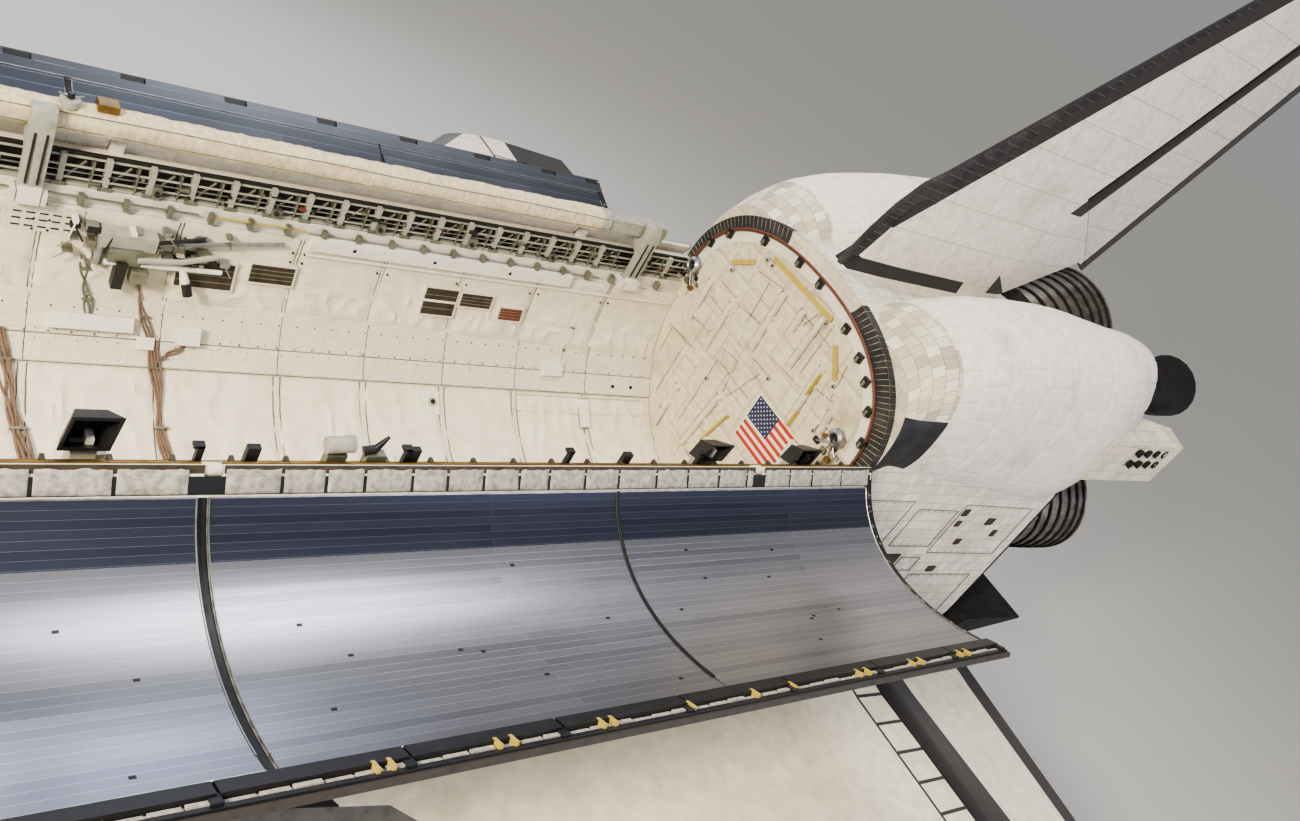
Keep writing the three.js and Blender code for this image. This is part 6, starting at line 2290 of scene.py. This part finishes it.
@dataclass
class Wheels:
    """Twin wheels on one axle: grooved tyres on forged rims.

    Lengths are in metres, in the outer frame.
    """

    name: str
    at: Point
    spread: float
    radius: float
    width: float
    rim: float
    grooves: int
    dish: tuple[Pair, ...] = (  # shares of half the width and of the rim
        (0.82, 1), (0.86, 1.04), (0.7, 0.9), (0.3, 0.82), (0.24, 0.5), (0.5, 0.42), (0.56, 0.2),
    )

    def tyre(self) -> list[Pair]:
        """The tyre's section as (place along the axle, radius)."""
        half, tread = self.width / 2, self.width * 0.36
        row = [(-half * 0.82, self.rim), (-half * 0.98, self.rim * 1.12)]
        row += [(-half, (self.radius + self.rim) / 2), (-half * 0.93, self.radius * 0.94)]
        row += [(-tread, self.radius * 0.988)]
        for k in range(self.grooves):
            s = -tread + 2 * tread * (k + 1) / (self.grooves + 1)
            bulge = self.radius * (1 - 0.012 * (s / tread) ** 2)
            for shift, depth in ((-0.007, 0), (-0.005, 0.009), (0.005, 0.009), (0.007, 0)):
                row.append((s + shift, bulge - depth))
        return row + [(-s, r) for s, r in reversed(row[:5])]

    def build(self) -> None:
        """Makes both wheels, which stand for the CAD node of that name."""
        sketch = Sketch(FRAME)
        for side in (-1, 1):
            at = (self.at[0], self.at[1] + side * self.spread, self.at[2])
            lathe(sketch, at, (0, 1, 0), self.tyre(), TYRE, 96)
            w, r = self.width / 2, self.rim
            rim = tuple((-w * s, r * q) for s, q in self.dish)
            rim += tuple((-s, q) for s, q in reversed(rim))
            lathe(sketch, at, (0, 1, 0), rim, HUB, 72)
            for k in range(12):
                a = k * math.pi / 6
                for m in (-1, 1):
                    x, z = at[0] + 0.64 * r * math.cos(a), at[2] + 0.64 * r * math.sin(a)
                    bolt = [(x, at[1] + m * w * s, z) for s in (0.2, 0.34)]
                    sketch.pipe(bolt, r * 0.05, STEEL, 6)
        sketch.make(f"{self.name}_dressed", f"{self.name}_body", "tyre", [self.name])


def dress_nodes(nodes: dict[str, bpy.types.Object]) -> None:
    """Gives every CAD node that still shows its finish.

    Args:
        nodes: The frame's nodes by name.
    """
    sides, pedestals = ("port", "starboard"), ("forward", "middle", "aft")
    engines = [f"main_engine_{place}" for place in ("upper", *sides)]
    kinds: tuple[tuple[Finish, float, Iterable[str]], ...] = (
        (CARBON, 0, ["nose_cap", *(f"{side}_leading_edge" for side in sides)]),
        (NOSE_TILE, 0, ["forward_fuselage", "side_hatch"]),
        (PANE, 0, ["windshield", "overhead_windows"]),
        (COCKPIT, 0.4, ["flight_deck"]),
        (LINER, 0, ["forward_bulkhead"]),
        (SIDE_TILE, 0, ["mid_fuselage", "aft_fuselage"]),
        (BULKHEAD_CLOTH, 0, ["aft_bulkhead"]),
        (BLACK_TILE, 0, ["base_heat_shield", "body_flap"]),
        (BLACK_TILE, 0, [f"{side}_{gear}_gear_door" for side in sides for gear in ("nose", "main")]),
        (NICKEL, 0, engines),
        (NIOBIUM, 0, [f"{side}_pod_nozzle" for side in sides]),
        (FIN_CLOTH, 0, ["vertical_fin"]),
        (RUDDER_CLOTH, 0, [f"rudder_panel_{side}" for side in sides]),
        (WING_TILE, 0, [f"{side}_wing" for side in sides]),
        (ELEVON_TILE, 0, [f"{side}_elevon_{part}board" for side in sides for part in ("in", "out")]),
        (FELT, 0, [f"{side}_{part}" for side in sides for part in ("side_wall", "door")]),
        (SILL_ENAMEL, 0.15, [f"{side}_longeron" for side in sides]),
        (GREY_PAINT, 0.3, [f"boom_pedestal_{place}" for place in pedestals]),
        (WHITE_PAINT, 0, ["nose_gear_leg", *(f"{side}_main_gear_leg" for side in sides)]),
        (STEEL, 0, ["nose_gear_steering", "rudder_shaft"]),
    )
    finishes = {name: (finish, bevel) for finish, bevel, names in kinds for name in names}
    for name, node in nodes.items():
        if name in finishes:
            dress_node(node, *finishes[name])
    LOG.info("%d CAD nodes dressed", sum(name in finishes for name in nodes))


def main() -> None:
    """Builds the vehicle's dressed pieces in order."""
    logging.basicConfig(level=logging.INFO, format="%(name)s: %(message)s")
    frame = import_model()
    Studio().build()
    assemblies = (
        Door("port", -1, 149.3, FILM),
        Door("starboard", 1, 158.8, FAR_FILM, black_edge=False),
        BayLiner(),
        BayEquipment(),
        Sills(),
        Boom(),
        AftBulkhead(),
        Pods(),
        FinFront(),
        AftSides(),
        MainEngine("main_engine_upper", (1445, 0, 443), 16, 0),
        MainEngine("main_engine_port", (1468.2, -53, 342.6), 10, -3.5),
        MainEngine("main_engine_starboard", (1468.2, 53, 342.6), 10, 3.5),
        Wheels("nose_wheels", (-14.533, 0, 0.406), 0.19, 0.406, 0.224, 0.19, 2),
        Wheels("port_main_wheels", (5.669, -3.454, 0.565), 0.31, 0.565, 0.406, 0.27, 4),
        Wheels("starboard_main_wheels", (5.669, 3.454, 0.565), 0.31, 0.565, 0.406, 0.27, 4),
    )
    for assembly in assemblies:
        assembly.build()
    dress_nodes(frame["nodes"])
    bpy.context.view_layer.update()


if __name__ == "__main__":
    main()
